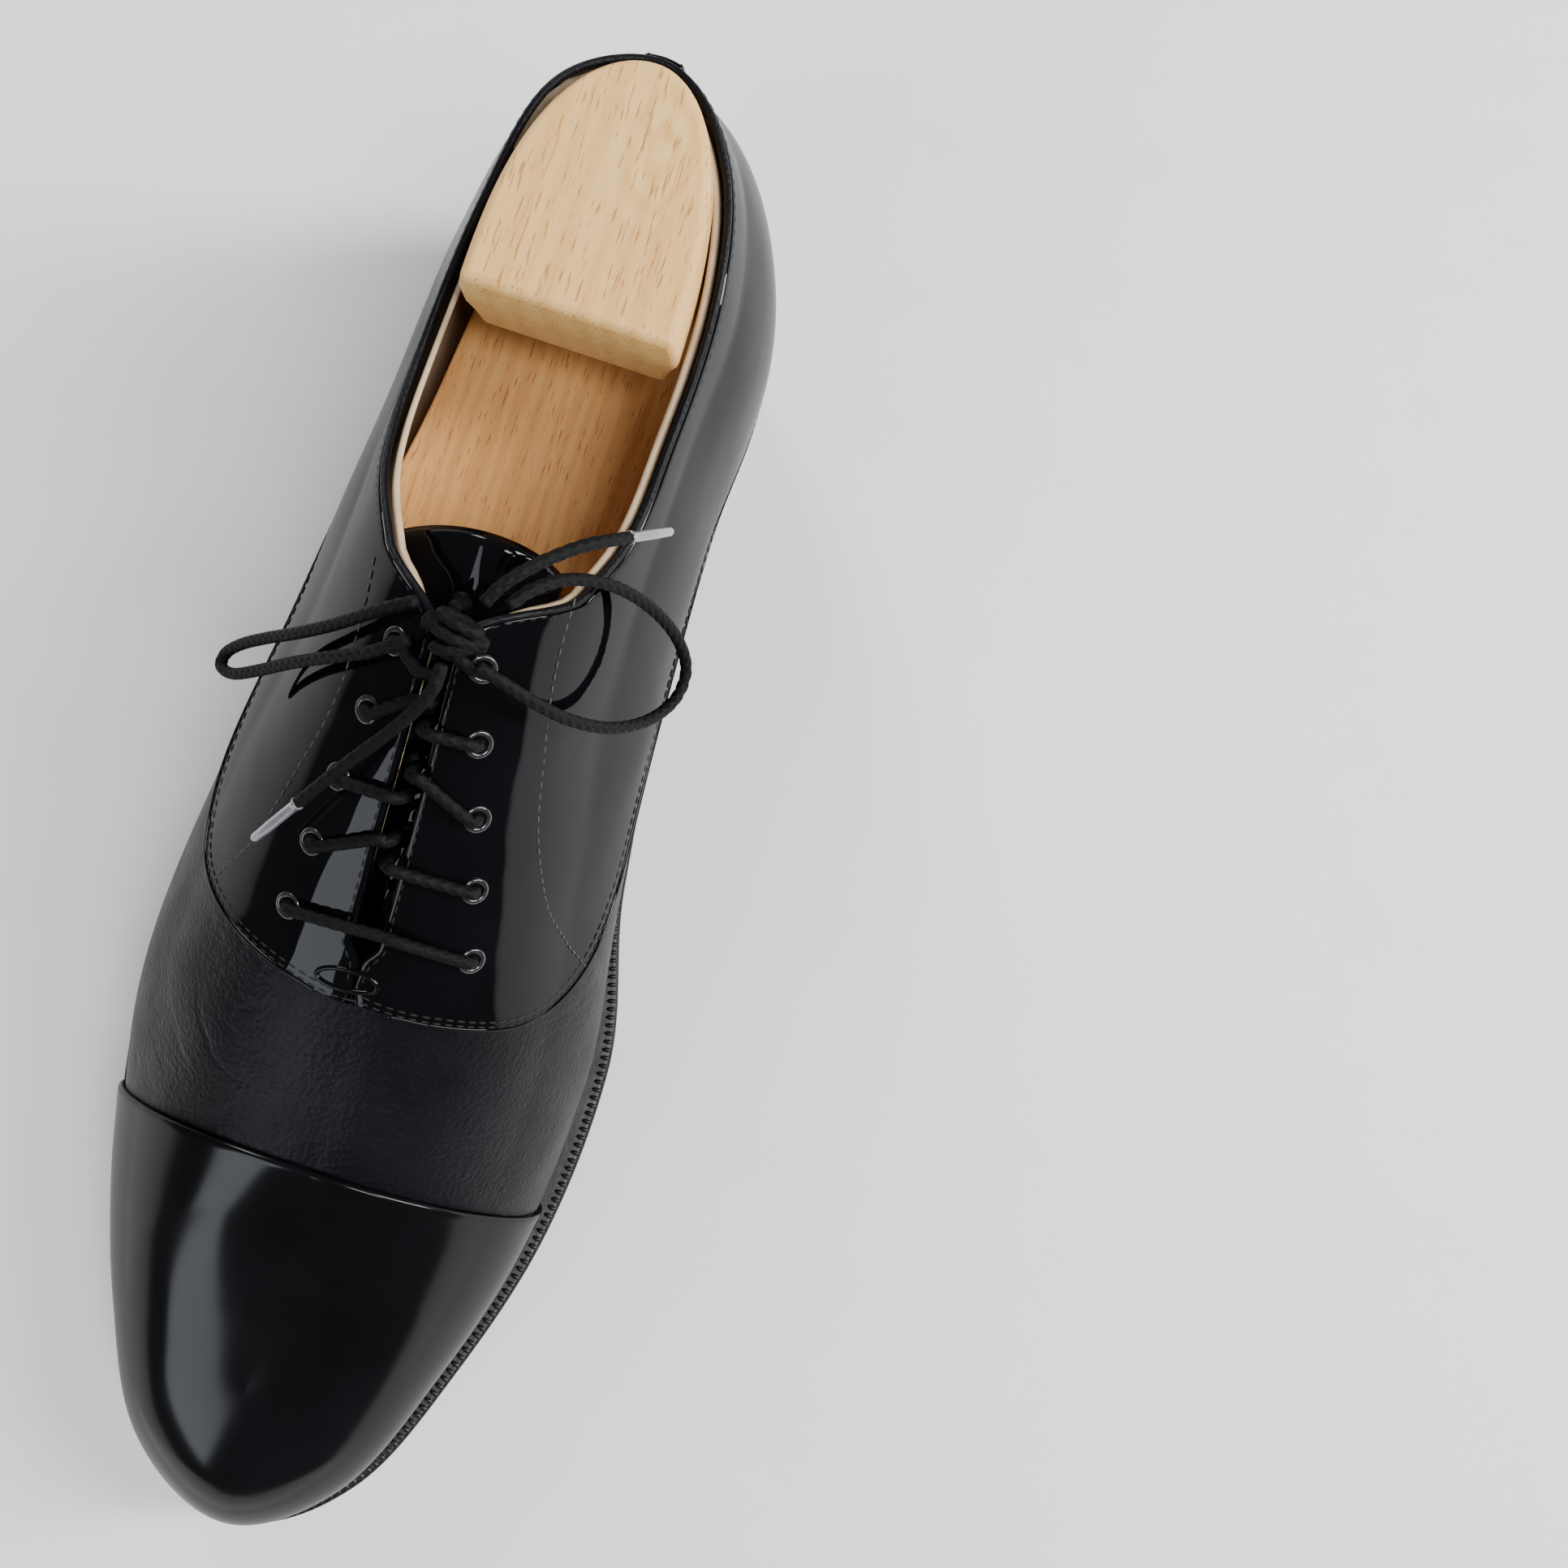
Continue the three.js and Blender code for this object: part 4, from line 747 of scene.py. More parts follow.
tongue = {"top": 0.354, "bottom": 0.6, "thick": 1.3, "wide": [0.37, 0.36, 0.33, 0.22],
          "middle": [-7.4, -8.4, -8.4, -8.4], "side": [-4.6, -5.4, -7.4, -8.2],
          "wideAt": [0.354, 0.385, 0.43, 0.6]}
gridT, gridS = np.meshgrid(np.linspace(0, 1, 70), spread(40) * 2 - 1, indexing="ij")
tt = tongue["top"] + 0.010 * gridS**2 + (tongue["bottom"] - tongue["top"] - 0.010 * gridS**2) * gridT
wide, middle, beyond = (np.interp(tt, tongue["wideAt"], tongue[key]) for key in ("wide", "middle", "side"))
centre = surface(tt, np.full_like(tt, seams["gapCentre"]), middle)
inner, outer = (surface(tt, seams["gapCentre"] + sign * wide, beyond) for sign in (1, -1))
bowed = centre + (inner - outer) / 2 * gridS[..., None] + ((inner + outer) / 2 - centre) * (gridS**2)[..., None]
shell("tongue_skin", tt, gridS, 0, tongue["thick"], patentBlack, ["tongue"], grid=bowed)
print("upper made")


# tubes: piping, laces, knot
def resample(points, step, closedLoop=False):
    p = np.asarray(points, float)
    q = np.concatenate([p[-1:], p, p[:2]]) if closedLoop else np.concatenate(
        [2 * p[:1] - p[1:2], p, 2 * p[-1:] - p[-2:-1]])
    dense = [catmull(q[i], q[i + 1], q[i + 2], q[i + 3], f)
             for i in range(len(q) - 3) for f in np.linspace(0, 1, 16, endpoint=False)]
    if not closedLoop:
        dense.append(q[-2])
    dense = np.array(dense)
    if closedLoop:
        dense = np.concatenate([dense, dense[:1]])
    length = np.concatenate([[0], np.cumsum(np.linalg.norm(np.diff(dense, axis=0), axis=1))])
    count = max(8, int(round(length[-1] / step)))
    s = np.linspace(0, length[-1], count + 1)
    line = np.stack([np.interp(s, length, dense[:, k]) for k in range(3)], -1)
    return (line[:-1], s[:-1]) if closedLoop else (line, s)


def tubePiece(name, points, radius, mat, replaced=(), step=0.35, sides=20, braid=0.0, flat=1.0,
              closedLoop=False, body="shoe"):
    line, s = resample(points, step, closedLoop)
    n = len(line)
    ahead = np.gradient(line, axis=0)
    if closedLoop:
        ahead = np.roll(line, -1, 0) - np.roll(line, 1, 0)
    ahead /= np.linalg.norm(ahead, axis=1, keepdims=True)
    side = np.cross(ahead[0], [0, 0, 1.0])
    side = side / np.linalg.norm(side) if np.linalg.norm(side) > 0.1 else np.array([1.0, 0, 0])
    sideways = [side]
    for k in range(1, n):
        v = sideways[-1] - ahead[k] * np.dot(sideways[-1], ahead[k])
        sideways.append(v / np.linalg.norm(v))
    sideways = np.array(sideways)
    if closedLoop:  # spread what the frame has turned over the loop
        v = sideways[-1] - ahead[0] * np.dot(sideways[-1], ahead[0])
        twist = math.atan2(np.dot(np.cross(v, sideways[0]), ahead[0]), np.dot(v, sideways[0]))
    else:
        twist = 0
    other = np.cross(ahead, sideways)
    theta = np.linspace(0, 2 * math.pi, sides, endpoint=False)
    turn = theta[None, :] + twist * (np.arange(n) / n)[:, None]
    r = np.full((n, sides), radius, float)
    if braid:
        k = 2 * math.pi / (radius * 2.1)
        lay = np.maximum(np.sin(4 * theta[None, :] + k * s[:, None]),
                     np.sin(4 * theta[None, :] - k * s[:, None]))
        r *= 1 - braid * (1 - lay) * 0.5
    points3 = (line[:, None] + r[..., None] * (np.cos(turn)[..., None] * sideways[:, None]
               + np.sin(turn)[..., None] * other[:, None] * flat)).reshape(-1, 3)
    wrap = [(i, j) for i in range(n if closedLoop else n - 1) for j in range(sides)]
    faces = [(i * sides + j, i * sides + (j + 1) % sides, ((i + 1) % n) * sides + (j + 1) % sides,
              ((i + 1) % n) * sides + j) for i, j in wrap]
    uvs = [(j / sides, s[i] / 1000) for i in range(n) for j in range(sides)]
    if not closedLoop:
        for end, ring in ((0, 0), (n - 1, n - 1)):
            tip = line[ring] + ahead[ring] * (-radius * 0.35 if end == 0 else radius * 0.35)
            points3 = np.concatenate([points3, tip[None]])
            centre = len(points3) - 1
            uvs.append((0.5, s[ring] / 1000))
            faces += [(centre, ring * sides + (j + 1) % sides, ring * sides + j) if end == 0 else
                      (centre, ring * sides + j, ring * sides + (j + 1) % sides) for j in range(sides)]
    obj = makeObject(name, toFrame(points3), faces, mat, body, replaced, uvs=uvs)
    return obj, line


binding = {"radius": 0.7, "lift": 0.006, "out": 0.45}
bindT = np.concatenate([np.linspace(0.398, 0.05, 60), [0.035, 0.02]])
bindPoints = np.concatenate([
    surface(bindT, quarterTop(bindT, 1) - binding["lift"], binding["out"]),
    surface(np.array([0.0]), np.array([quarterTop(0, 1) - binding["lift"]]), binding["out"]),
    surface(bindT[::-1], -(quarterTop(bindT[::-1], -1) - binding["lift"]), binding["out"])])
tubePiece("topline_piping", bindPoints, binding["radius"], calfSatin, ["topline_binding"],
          step=0.8, sides=14)

# eyelets, in rows that open out towards the toe
eyelets = {"count": 5, "first": 0.415, "span": 0.135, "rim": 2.05, "wire": 0.5, "flat": 0.6}


def eyeletAt(side, i):
    f = i / (eyelets["count"] - 1)
    a = seams["gapCentre"] + (0.125 + 0.14 * f if side > 0 else -0.13 - 0.045 * f)
    return eyelets["first"] + eyelets["span"] * f, a


spots = np.array([eyeletAt(side, i) for side in (1, -1) for i in range(eyelets["count"])])
rimHeight = upper["overLow"] + upper["over"]
rimPoints = surface(spots[:, 0], spots[:, 1], rimHeight)
rimUps = lastNormal(spots[:, 0], spots[:, 1])
ringGuide = guide("eyelet_guide", [([p], [n]) for p, n in zip(rimPoints, rimUps)])
eyeletPiece = grow(ringGuide, eyeletRings, {
    "Radius": eyelets["rim"] / 1000, "Wire": eyelets["wire"] / 1000, "Flat": eyelets["flat"]},
    "eyelet_rims", eyeletDark)
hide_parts(*["eyelet_%s_%d" % (s, i + 1) for s in ("medial", "lateral") for i in range(5)])

# the lace: a bar over the lowest eyelets, two halves crossing under the facings, then a bow
lace = {"radius": 1.15, "braid": 0.3, "reach": 2.2, "lead": [-0.002, 0.006],
        "offset": {1: -0.006, -1: 0.006}, "tie": {1: 0.4, -1: 0.39}}
lace["over"] = rimHeight + 0.45 + lace["radius"]
lace["under"] = {1: upper["liningLow"] - lace["radius"] - 0.3}
lace["under"][-1] = lace["under"][1] - 2 * lace["radius"] + 0.4


def beside(t, a, across, out):
    girth = float(np.linalg.norm(lastPoint(t, a + 0.05) - lastPoint(t, a - 0.05))) / 0.1
    return surface(np.asarray(t), np.asarray(a + across / girth), out)


def passage(t, a, way, wayBelow, below):
    r = lace["reach"]
    return [beside(t, a, r * way, lace["over"]), beside(t, a, 0.45 * r * way, lace["over"] - 0.25),
            beside(t, a, 0.05 * r * way, lace["over"] - 1.3), beside(t, a, 0, 0),
            beside(t, a, 0.05 * r * wayBelow, below + 1.3), beside(t, a, 0.45 * r * wayBelow, below + 0.25),
            beside(t, a, r * wayBelow, below)]


def laceHalf(start):
    side = start
    points = []
    below = lace["under"][start]
    for i in range(eyelets["count"] - 1, -1, -1):
        t, a = eyeletAt(side, i)
        points += passage(t, a, -side, -side, below)
        rise = eyeletAt(side, max(0, i - 1))[0] - lace["lead"][1 if i > 1 else 0] + lace["offset"][start]
        if i == 0:
            rise = lace["tie"][start]
        up = passage(rise, seams["gapCentre"], -side, side, below)[::-1]
        points += up if i else up[:5]
        side = -side
    return points


bottomT, bottomA = eyeletAt(1, eyelets["count"] - 1)
bar = [surface(np.asarray(bottomT), np.asarray(seams["gapCentre"] + k), lace["over"])
       for k in (-0.08, -0.03, 0.03, 0.09)]
laced = laceHalf(-1)[::-1] + bar + laceHalf(1)
tubePiece("lace_through_eyelets", laced, lace["radius"], laceBlack,
          ["lace_medial_half", "lace_lateral_half"], step=0.4, braid=lace["braid"])

bow = {
    "medialLoop": [[-24.6, 4, 111.5], [-23.6, 8.2, 109.6], [-22.6, 13.5, 104.5], [-22.4, 19.5, 97],
                   [-24.2, 26, 88], [-28.5, 31.5, 79.5], [-34.5, 35, 74.5], [-40.5, 35.2, 75],
                   [-44.6, 31.8, 81], [-46.6, 26, 90], [-46.2, 19.5, 99.5], [-43.6, 13.4, 107],
                   [-39.6, 9, 111.6], [-35.4, 6, 113.2]],
    "lateralLoop": [[-31.4, -8.2, 112.8], [-29.8, -12.2, 110], [-27.6, -17.2, 105.2], [-25.4, -23, 98.4],
                    [-23.4, -30.2, 89.5], [-22, -37.4, 79.8], [-20.4, -43.6, 71.4], [-18.4, -47.4, 66],
                    [-15.8, -47.6, 65.4], [-14.8, -43.8, 69.8], [-16.2, -37.2, 78.4],
                    [-18.2, -29.6, 89], [-20, -21.6, 99.2], [-21.6, -15, 106], [-23.4, -10.6, 110.3],
                    [-25.2, -7.6, 112.2]],
    "medialEnd": [[-34.2, 2.4, 114.8], [-37.4, 4.2, 115.6], [-41, 7, 115.6], [-45, 10.6, 114.2],
                  [-48.6, 14.2, 111.8], [-51.4, 17.4, 108.4], [-54, 20, 103.8]],
    "lateralEnd": [[-23.2, -1.4, 111.4], [-19.4, -1.6, 110.4], [-14.6, -4, 108], [-9.4, -8, 104.8],
                   [-4.4, -12.2, 102], [0.4, -16, 98.8], [4.4, -19.4, 95]],
    "aglet": {"radius": 0.95, "length": 13},
    "knot": [-28.7, -0.4, 113.0],
}


def agletPiece(name, points, node):
    before, lastOne = np.array(points[-2], float), np.array(points[-1], float)
    way = (lastOne - before) / np.linalg.norm(lastOne - before)
    size = bow["aglet"]
    stations = [(-0.2, 1.22), (0.15, 1.3), (0.5, 1.1), (1.2, 1.0), (size["length"] * 0.55, 0.98),
                (size["length"] - 0.7, 0.9), (size["length"] - 0.2, 0.72), (size["length"], 0.35)]
    side = np.cross(way, [0, 0, 1.0])
    side /= np.linalg.norm(side)
    other = np.cross(way, side)
    around = np.linspace(0, 2 * math.pi, 18, endpoint=False)
    points3, n = [], 18
    for d, scale in stations:
        for angle in around:
            r = size["radius"] * scale
            points3.append(lastOne + way * (d + 0.3) + r * (math.cos(angle) * side + math.sin(angle) * other))
    points3 += [lastOne + way * 0.1, lastOne + way * (size["length"] + 0.3)]
    faces = [(k * n + j, k * n + (j + 1) % n, (k + 1) * n + (j + 1) % n, (k + 1) * n + j)
             for k in range(len(stations) - 1) for j in range(n)]
    base, top = len(stations) * n, (len(stations) - 1) * n
    faces += [(base, (j + 1) % n, j) for j in range(n)]
    faces += [(base + 1, top + j, top + (j + 1) % n) for j in range(n)]
    return makeObject(name, toFrame(points3), faces, agletClear, "shoe", [node])


aglets = {"medialEnd": agletPiece("aglet_medial_tip", bow["medialEnd"], "aglet_medial"),
          "lateralEnd": agletPiece("aglet_lateral_tip", bow["lateralEnd"], "aglet_lateral")}
for key, node, farEnd in (("medialLoop", "lace_medial_loop", "object"),
                          ("lateralLoop", "lace_lateral_loop", "object"),
                          ("medialEnd", "lace_medial_end", "fitting"),
                          ("lateralEnd", "lace_lateral_end", "fitting")):
    piece, line = tubePiece(node + "_cord", bow[key], lace["radius"], laceBlack, [node],
                            step=0.4, braid=lace["braid"])

# the bow's knot: turns of the same lace drawn tight round its crossing
knotCentre = np.array(bow["knot"])
knotUp = lastNormal(np.array(0.398), np.array(0.0))
knotAhead = np.array([1, 0, 0]) - knotUp * knotUp[0]
knotAhead /= np.linalg.norm(knotAhead)
knotSide = np.cross(knotUp, knotAhead)
angles = np.linspace(0, 2 * math.pi, 14, endpoint=False)
wraps = [(-1.5, 3.1, 2.3, 0.25), (0.7, 3.3, 2.5, 0.15), (2.6, 2.8, 2.1, -0.3)]
knotParts = []
for k, (ahead, wide, high, lean) in enumerate(wraps):
    loop = [knotCentre + knotAhead * (ahead + lean * wide * math.cos(angle)) + knotSide * wide * math.cos(angle)
            + knotUp * high * math.sin(angle) for angle in angles]
    knotParts.append(tubePiece("lace_knot_turn_%d" % (k + 1), loop, lace["radius"], laceBlack,
                               step=0.4, braid=lace["braid"], closedLoop=True)[0])
core = [knotCentre + knotSide * 4.6 - knotUp * 0.4 + knotAhead * 1.5, knotCentre + knotSide * 2,
        knotCentre - knotSide * 2, knotCentre - knotSide * 5.6 - knotUp * 0.4 - knotAhead * 0.5]
tubePiece("lace_knot_core", core, lace["radius"] * 1.5, laceBlack, ["lace_knot"],
                     step=0.4, braid=lace["braid"])[0]
print("lace made")

# stitching
threadGrey = plainMaterial("threadGrey", (0.030, 0.030, 0.033), (0.075, 0.075, 0.08), 0.55, 0.1, 3000, 0.4,
                           Specular_IOR_Level=0.3)
stitch = {"pitch": 2.2, "bar": (1.7, 0.42, 0.32), "sink": 0.02,
          "fromSeam": (1.5, 3.1), "fromTopline": 2.2, "fromGap": 1.5,
          "facingInner": [(0.373, 0.307), (0.409, 0.317), (0.443, 0.335), (0.482, 0.362), (0.513, 0.441),
                          (0.527, 0.534), (0.538, 0.635)],
          "facingOuter": [(0.383, -0.304), (0.425, -0.267), (0.456, -0.261), (0.486, -0.287),
                          (0.508, -0.315), (0.524, -0.34), (0.545, -0.42)]}


def onSurface(line, out):
    line = np.asarray(line, float)
    return surface(line[:, 0], line[:, 1], out), lastNormal(line[:, 0], line[:, 1])


def insideEdge(side, distance, t0, t1, which):  # a row that keeps its distance from an edge of a quarter
    t = np.linspace(t0, t1, 160)
    total = np.linalg.norm(np.diff(surface(*quarterPoint(t[:, None], np.linspace(0, 1, 30)[None, :], side)),
                                   axis=1), axis=-1).sum(axis=1)
    v = distance / total
    tt, aa = quarterPoint(t, v if which == "top" else 1 - v, side)
    return np.stack([tt, aa], -1)


threadOut = rimHeight + stitch["sink"]
besidePiping = rimHeight - 0.1  # the topline's row lies deeper
chains = []
for side in (1, -1):
    chains += [onSurface(insideEdge(side, stitch["fromSeam"][0], 0.17, 0.583, "seam"), threadOut),
               onSurface(insideEdge(side, stitch["fromSeam"][1], 0.17, 0.582, "seam"), threadOut),
               onSurface(insideEdge(side, stitch["fromTopline"], 0.004, 0.402, "top"), besidePiping),
               onSurface(insideEdge(side, stitch["fromGap"], 0.405, 0.575, "top"), threadOut)]
facingChains = [onSurface(chain(*zip(*stitch[key]), count=140), threadOut)
                for key in ("facingInner", "facingOuter")]
grow(guide("facing_stitch_guide", facingChains), rowOfBars, {
    "Pitch": stitch["pitch"] / 1000, "Bar": tuple(v / 1000 for v in stitch["bar"])},
    "facing_stitches", threadGrey)
tackAngles = np.linspace(0, 2 * math.pi, 40)
tack = {"t": 0.5795, "a": -0.035, "halfT": 0.0055, "halfA": 0.062}
tackRow = np.stack([tack["t"] + tack["halfT"] * np.cos(tackAngles),
                    tack["a"] + tack["halfA"] * np.sin(tackAngles)], -1)
for sideName, side in (("medial", 1), ("lateral", -1)):
    ridge, _ = onSurface(insideEdge(side, 0.62, 0.165, 0.583, "seam")[::4], rimHeight - 0.1)
    tubePiece("quarter_ridge_" + sideName, ridge, 0.42, patentBlack, step=0.8, sides=10)
tackRing, _ = onSurface(tackRow[:-1:2], rimHeight + 0.05)
tubePiece("gap_end_ring", tackRing, 0.5, patentBlack, step=0.4, sides=12, closedLoop=True)
stripV = np.linspace(0.02, 0.98, 60)
for t in (-0.0165, 0.0165):
    top = float(quarterTop(abs(t), 1 if t > 0 else -1)) + 0.035
    strip = np.stack([np.full(60, t), top + (1 - top) * stripV], -1)
    chains.append(onSurface(strip, upper["over"] + 1.0 + stitch["sink"]))
grow(guide("stitch_guide", chains), rowOfBars, {
    "Pitch": stitch["pitch"] / 1000, "Bar": tuple(v / 1000 for v in stitch["bar"])},
    "upper_stitches", threadBlack)
print("stitches made")


# bottom
def ringPiece(name, phis, profile, mat, replaced, capped, underMaterial=None):
    # profile: (out of the outline, height at x); a capped one is closed by strips across the shoe
    loops = []
    for out, height in profile:
        x0, y0, nx, ny = outline(phis)
        o = out(x0) if callable(out) else out
        x, y = x0 + nx * o, y0 + ny * o
        loops.append(np.stack([x, y, height(x)], -1))
    n, m = len(phis), len(loops)
    vertices = np.concatenate(loops)
    faces = []
    for k in range(m - 1 if capped else m):
        k2 = (k + 1) % m
        faces += [(k * n + i, k * n + (i + 1) % n, k2 * n + (i + 1) % n, k2 * n + i)
                  for i in range(n if capped else n - 1)]
    marks = [0] * len(faces)
    if capped:
        for k, mark in ((0, 1 if underMaterial else 0), (m - 1, 0)):
            half = n // 2
            for i in range(half):
                quad = [k * n + i, k * n + i + 1, k * n + (n - i - 1) % n, k * n + (n - i) % n]
                quad = list(dict.fromkeys(quad))
                if len(quad) > 2:
                    faces.append(tuple(quad))
                    marks.append(mark)
    else:
        for end in (0, n - 1):
            faces.append(tuple(k * n + end for k in range(m)))
            marks.append(0)
    mats = [mat, underMaterial] if underMaterial else mat
    obj = makeObject(name, toFrame(vertices), faces, mats, "shoe", replaced, faceMaterials=marks)
    sharpen(obj, 40)
    return obj


solePhi = np.arange(480) / 480
thick = last["soleThick"]
ringPiece("outsole_edge", solePhi, [
    (lambda x: weltOut(x) - 1.6, soleZ), (lambda x: weltOut(x) - 0.5, lambda x: soleZ(x) + 0.05),
    (lambda x: weltOut(x) - 0.1, lambda x: soleZ(x) + 0.45), (weltOut, lambda x: soleZ(x) + 1.3),
    (weltOut, lambda x: soleZ(x) + thick - 0.9),
        (lambda x: weltOut(x) - 0.12, lambda x: soleZ(x) + thick - 0.35),
    (lambda x: weltOut(x) - 0.5, lambda x: soleZ(x) + thick - 0.05),
    (lambda x: weltOut(x) - 0.9, lambda x: soleZ(x) + thick - 0.04)],
    edgeBlack, ["outsole"], True, underMaterial=soleTan)

welt = {"start": 0.35, "inset": 6, "joint": 0.0015}


def weltProfile():
    high = last["weltThick"]
    return [(-welt["inset"], weltZ), (lambda x: weltOut(x) - 0.5, weltZ),
            (lambda x: weltOut(x) - 0.1, lambda x: weltZ(x) + 0.3),
            (weltOut, lambda x: weltZ(x) + 0.8), (weltOut, lambda x: weltZ(x) + high - 0.9),
            (lambda x: weltOut(x) - 0.15, lambda x: weltZ(x) + high - 0.4),
            (lambda x: weltOut(x) - 0.6, lambda x: weltZ(x) + high - 0.08),
            (lambda x: weltOut(x) - 1.2, lambda x: weltZ(x) + high),
            (-welt["inset"], lambda x: weltZ(x) + high)]


forePhi = np.linspace(welt["start"] / 2, 1 - welt["start"] / 2, 420)
rearPhi = np.linspace(-(welt["start"] / 2 - welt["joint"]), welt["start"] / 2 - welt["joint"], 180)
ringPiece("welt_strip", forePhi, weltProfile(), weltBlack, ["welt"], False)
ringPiece("heel_rand_strip", rearPhi, weltProfile(), weltBlack, ["heel_rand"], False)

ribs = {"pitch": 1.8, "bar": (1.15, 2.4, 0.8), "inset": 1.35, "from": 0.365}
ribPhi = np.linspace(ribs["from"] / 2, 1 - ribs["from"] / 2, 700)
x0, y0, nx, ny = outline(ribPhi)
out = weltOut(x0) - ribs["inset"]
ribPoints = np.stack([x0 + nx * out, y0 + ny * out, weltZ(x0 + nx * out) + last["weltThick"] - 0.02], -1)
grow(guide("rib_guide", [(ribPoints, np.tile([0, 0, 1.0], (len(ribPoints), 1)))]), rowOfBars, {
    "Pitch": ribs["pitch"] / 1000, "Bar": tuple(v / 1000 for v in ribs["bar"])},
    "welt_ribs", weltBlack)

heel = {"end": 0.283, "tap": 2.5, "gap": 0.12, "hollow": 4,
        "layers": [("heel_top_piece", 0.3), ("heel_lift_2", 0.35), ("heel_lift_1", 0.35)]}
stack = last["heelHeight"] - heel["tap"] - 0.3
level = heel["tap"] + 0.3
heelPhi = np.linspace(-heel["end"] / 2, heel["end"] / 2, 160)
across = np.linspace(0, 1, 26)[1:-1]
for name, share in heel["layers"]:
    top = level + stack * share - heel["gap"]
    loops = []
    for inset, z in ((0.5, level), (0.12, level + 0.15), (0, level + 0.5), (0, top - 0.35),
                     (0.1, top - 0.1), (0.4, top)):
        taper = last["weltWaist"] - 0.9 + 1.2 * z / last["heelHeight"] - inset
        x, y, _, _ = outline(heelPhi, taper)
        fx = x[-1] + (x[0] - x[-1]) * across - heel["hollow"] * 4 * across * (1 - across) - inset
        fy = y[-1] + (y[0] - y[-1]) * across
        loops.append(np.stack([np.concatenate([x, fx]), np.concatenate([y, fy]),
                               np.full(len(x) + len(fx), z)], -1))
    n, m = len(loops[0]), len(loops)
    faces = [(k * n + i, k * n + (i + 1) % n, (k + 1) * n + (i + 1) % n, (k + 1) * n + i)
             for k in range(m - 1) for i in range(n)]
    faces += [tuple(range(n - 1, -1, -1)), tuple((m - 1) * n + i for i in range(n))]
    rubberLayer = name == "heel_top_piece"
    obj = makeObject(name + "_layer", toFrame(np.concatenate(loops)), faces,
                     rubberBlack if rubberLayer else edgeBlack, "shoe",
                     [name])
    sharpen(obj, 40)
    level = top + heel["gap"]
print("bottom made")


# shoe tree
def bevelled(obj, width, segments=3, angle=30):
    modifier = obj.modifiers.new("edges", "BEVEL")
    modifier.width = width
    modifier.segments = segments
    modifier.limit_method = "ANGLE"
    modifier.angle_limit = math.radians(angle)
    return modifier


def loftPiece(name, rings, mat, replaced, body, bevelWidth):
    n, m = len(rings[0]), len(rings)
    faces = [(k * n + i, k * n + (i + 1) % n, (k + 1) * n + (i + 1) % n, (k + 1) * n + i)
             for k in range(m - 1) for i in range(n)]
    faces += [tuple(range(n - 1, -1, -1)), tuple((m - 1) * n + i for i in range(n))]
    obj = makeObject(name, toFrame(np.concatenate(rings)), faces, mat, body, replaced)
    bevelled(obj, bevelWidth)
    obj.data.set_sharp_from_angle(angle=math.radians(60))
    return obj


tree = {"boardTop": 60, "boardThick": 12, "boardFront": -51.5, "boardEdge": -5.2,
        # height, front, back, inner half width, outer half width
        "block": [[66, -108, -127, 12.5, 15], [80, -92, -129, 15, 17.5], [86, -87.5, -130.3, 16.5, 18.5],
                  [93, -86.7, -131, 17.2, 19.2], [97, -86.4, -133.6, 18.4, 20.4],
                  [102.5, -86.2, -134.6, 18.4, 20.6], [106, -87.2, -134.2, 17.2, 20.2]]}
rings = []
for z, front, back, inner, outer in tree["block"]:
    angle = np.linspace(-math.pi / 2, math.pi / 2, 72)
    depth = np.power(np.cos(angle), 0.75) * (front - back)
    yy = np.sin(angle) * np.where(angle > 0, inner, outer)
    rings.append(np.stack([front - depth, yy, np.full(72, z)], -1))
loftPiece("tree_heel_block_wood", rings, paleWood, ["tree_heel_block"], "tree_heel", 0.0019)

boardT = np.linspace(0.02, 0.352, 60)
rings = []
for z in (tree["boardTop"] - tree["boardThick"], tree["boardTop"]):
    xi, yi, _, _ = outline(boardT / 2, tree["boardEdge"])
    xo, yo, _, _ = outline(1 - boardT[::-1] / 2, tree["boardEdge"])
    x, y = np.concatenate([xi, xo]), np.concatenate([yi, yo])
    keep = x < tree["boardFront"] - 0.4
    x, y = x[keep], y[keep]
    split = int(np.argmax(y < 0))
    front = np.array([[tree["boardFront"], y[split - 1]], [tree["boardFront"], y[split]]])
    xy = np.concatenate([np.stack([x[:split], y[:split]], -1), front, np.stack([x[split:], y[split:]], -1)])
    rings.append(np.column_stack([xy, np.full(len(xy), z)]))
loftPiece("tree_board_wood", rings, warmWood, ["tree_board"], "shoe", 0.0012)
print("tree made")

fore = bmesh.new()
fore.from_mesh(nodes["tree_forepart"].data)
bmesh.ops.remove_doubles(fore, verts=fore.verts, dist=1e-6)
foreCut = {"x": -36, "lean": 0.25}  # the wood behind this plane is left out
cutPlace = toFrame([foreCut["x"], 0, 0])
bmesh.ops.bisect_plane(fore, geom=fore.verts[:] + fore.edges[:] + fore.faces[:], dist=1e-6,
                       plane_co=tuple(cutPlace), plane_no=(-1, 0, foreCut["lean"]), clear_outer=True)
bmesh.ops.holes_fill(fore, edges=[e for e in fore.edges if e.is_boundary], sides=0)
bmesh.ops.triangulate(fore, faces=[f for f in fore.faces if len(f.verts) > 4])
foreMesh = bpy.data.meshes.new("tree_forepart_wood")
fore.to_mesh(foreMesh)
fore.free()
foreMesh.materials.append(warmWood)
forePiece = bpy.data.objects.new("tree_forepart_wood", foreMesh)
bpy.context.scene.collection.objects.link(forePiece)
finishPiece(forePiece, "shoe", ["tree_forepart"])

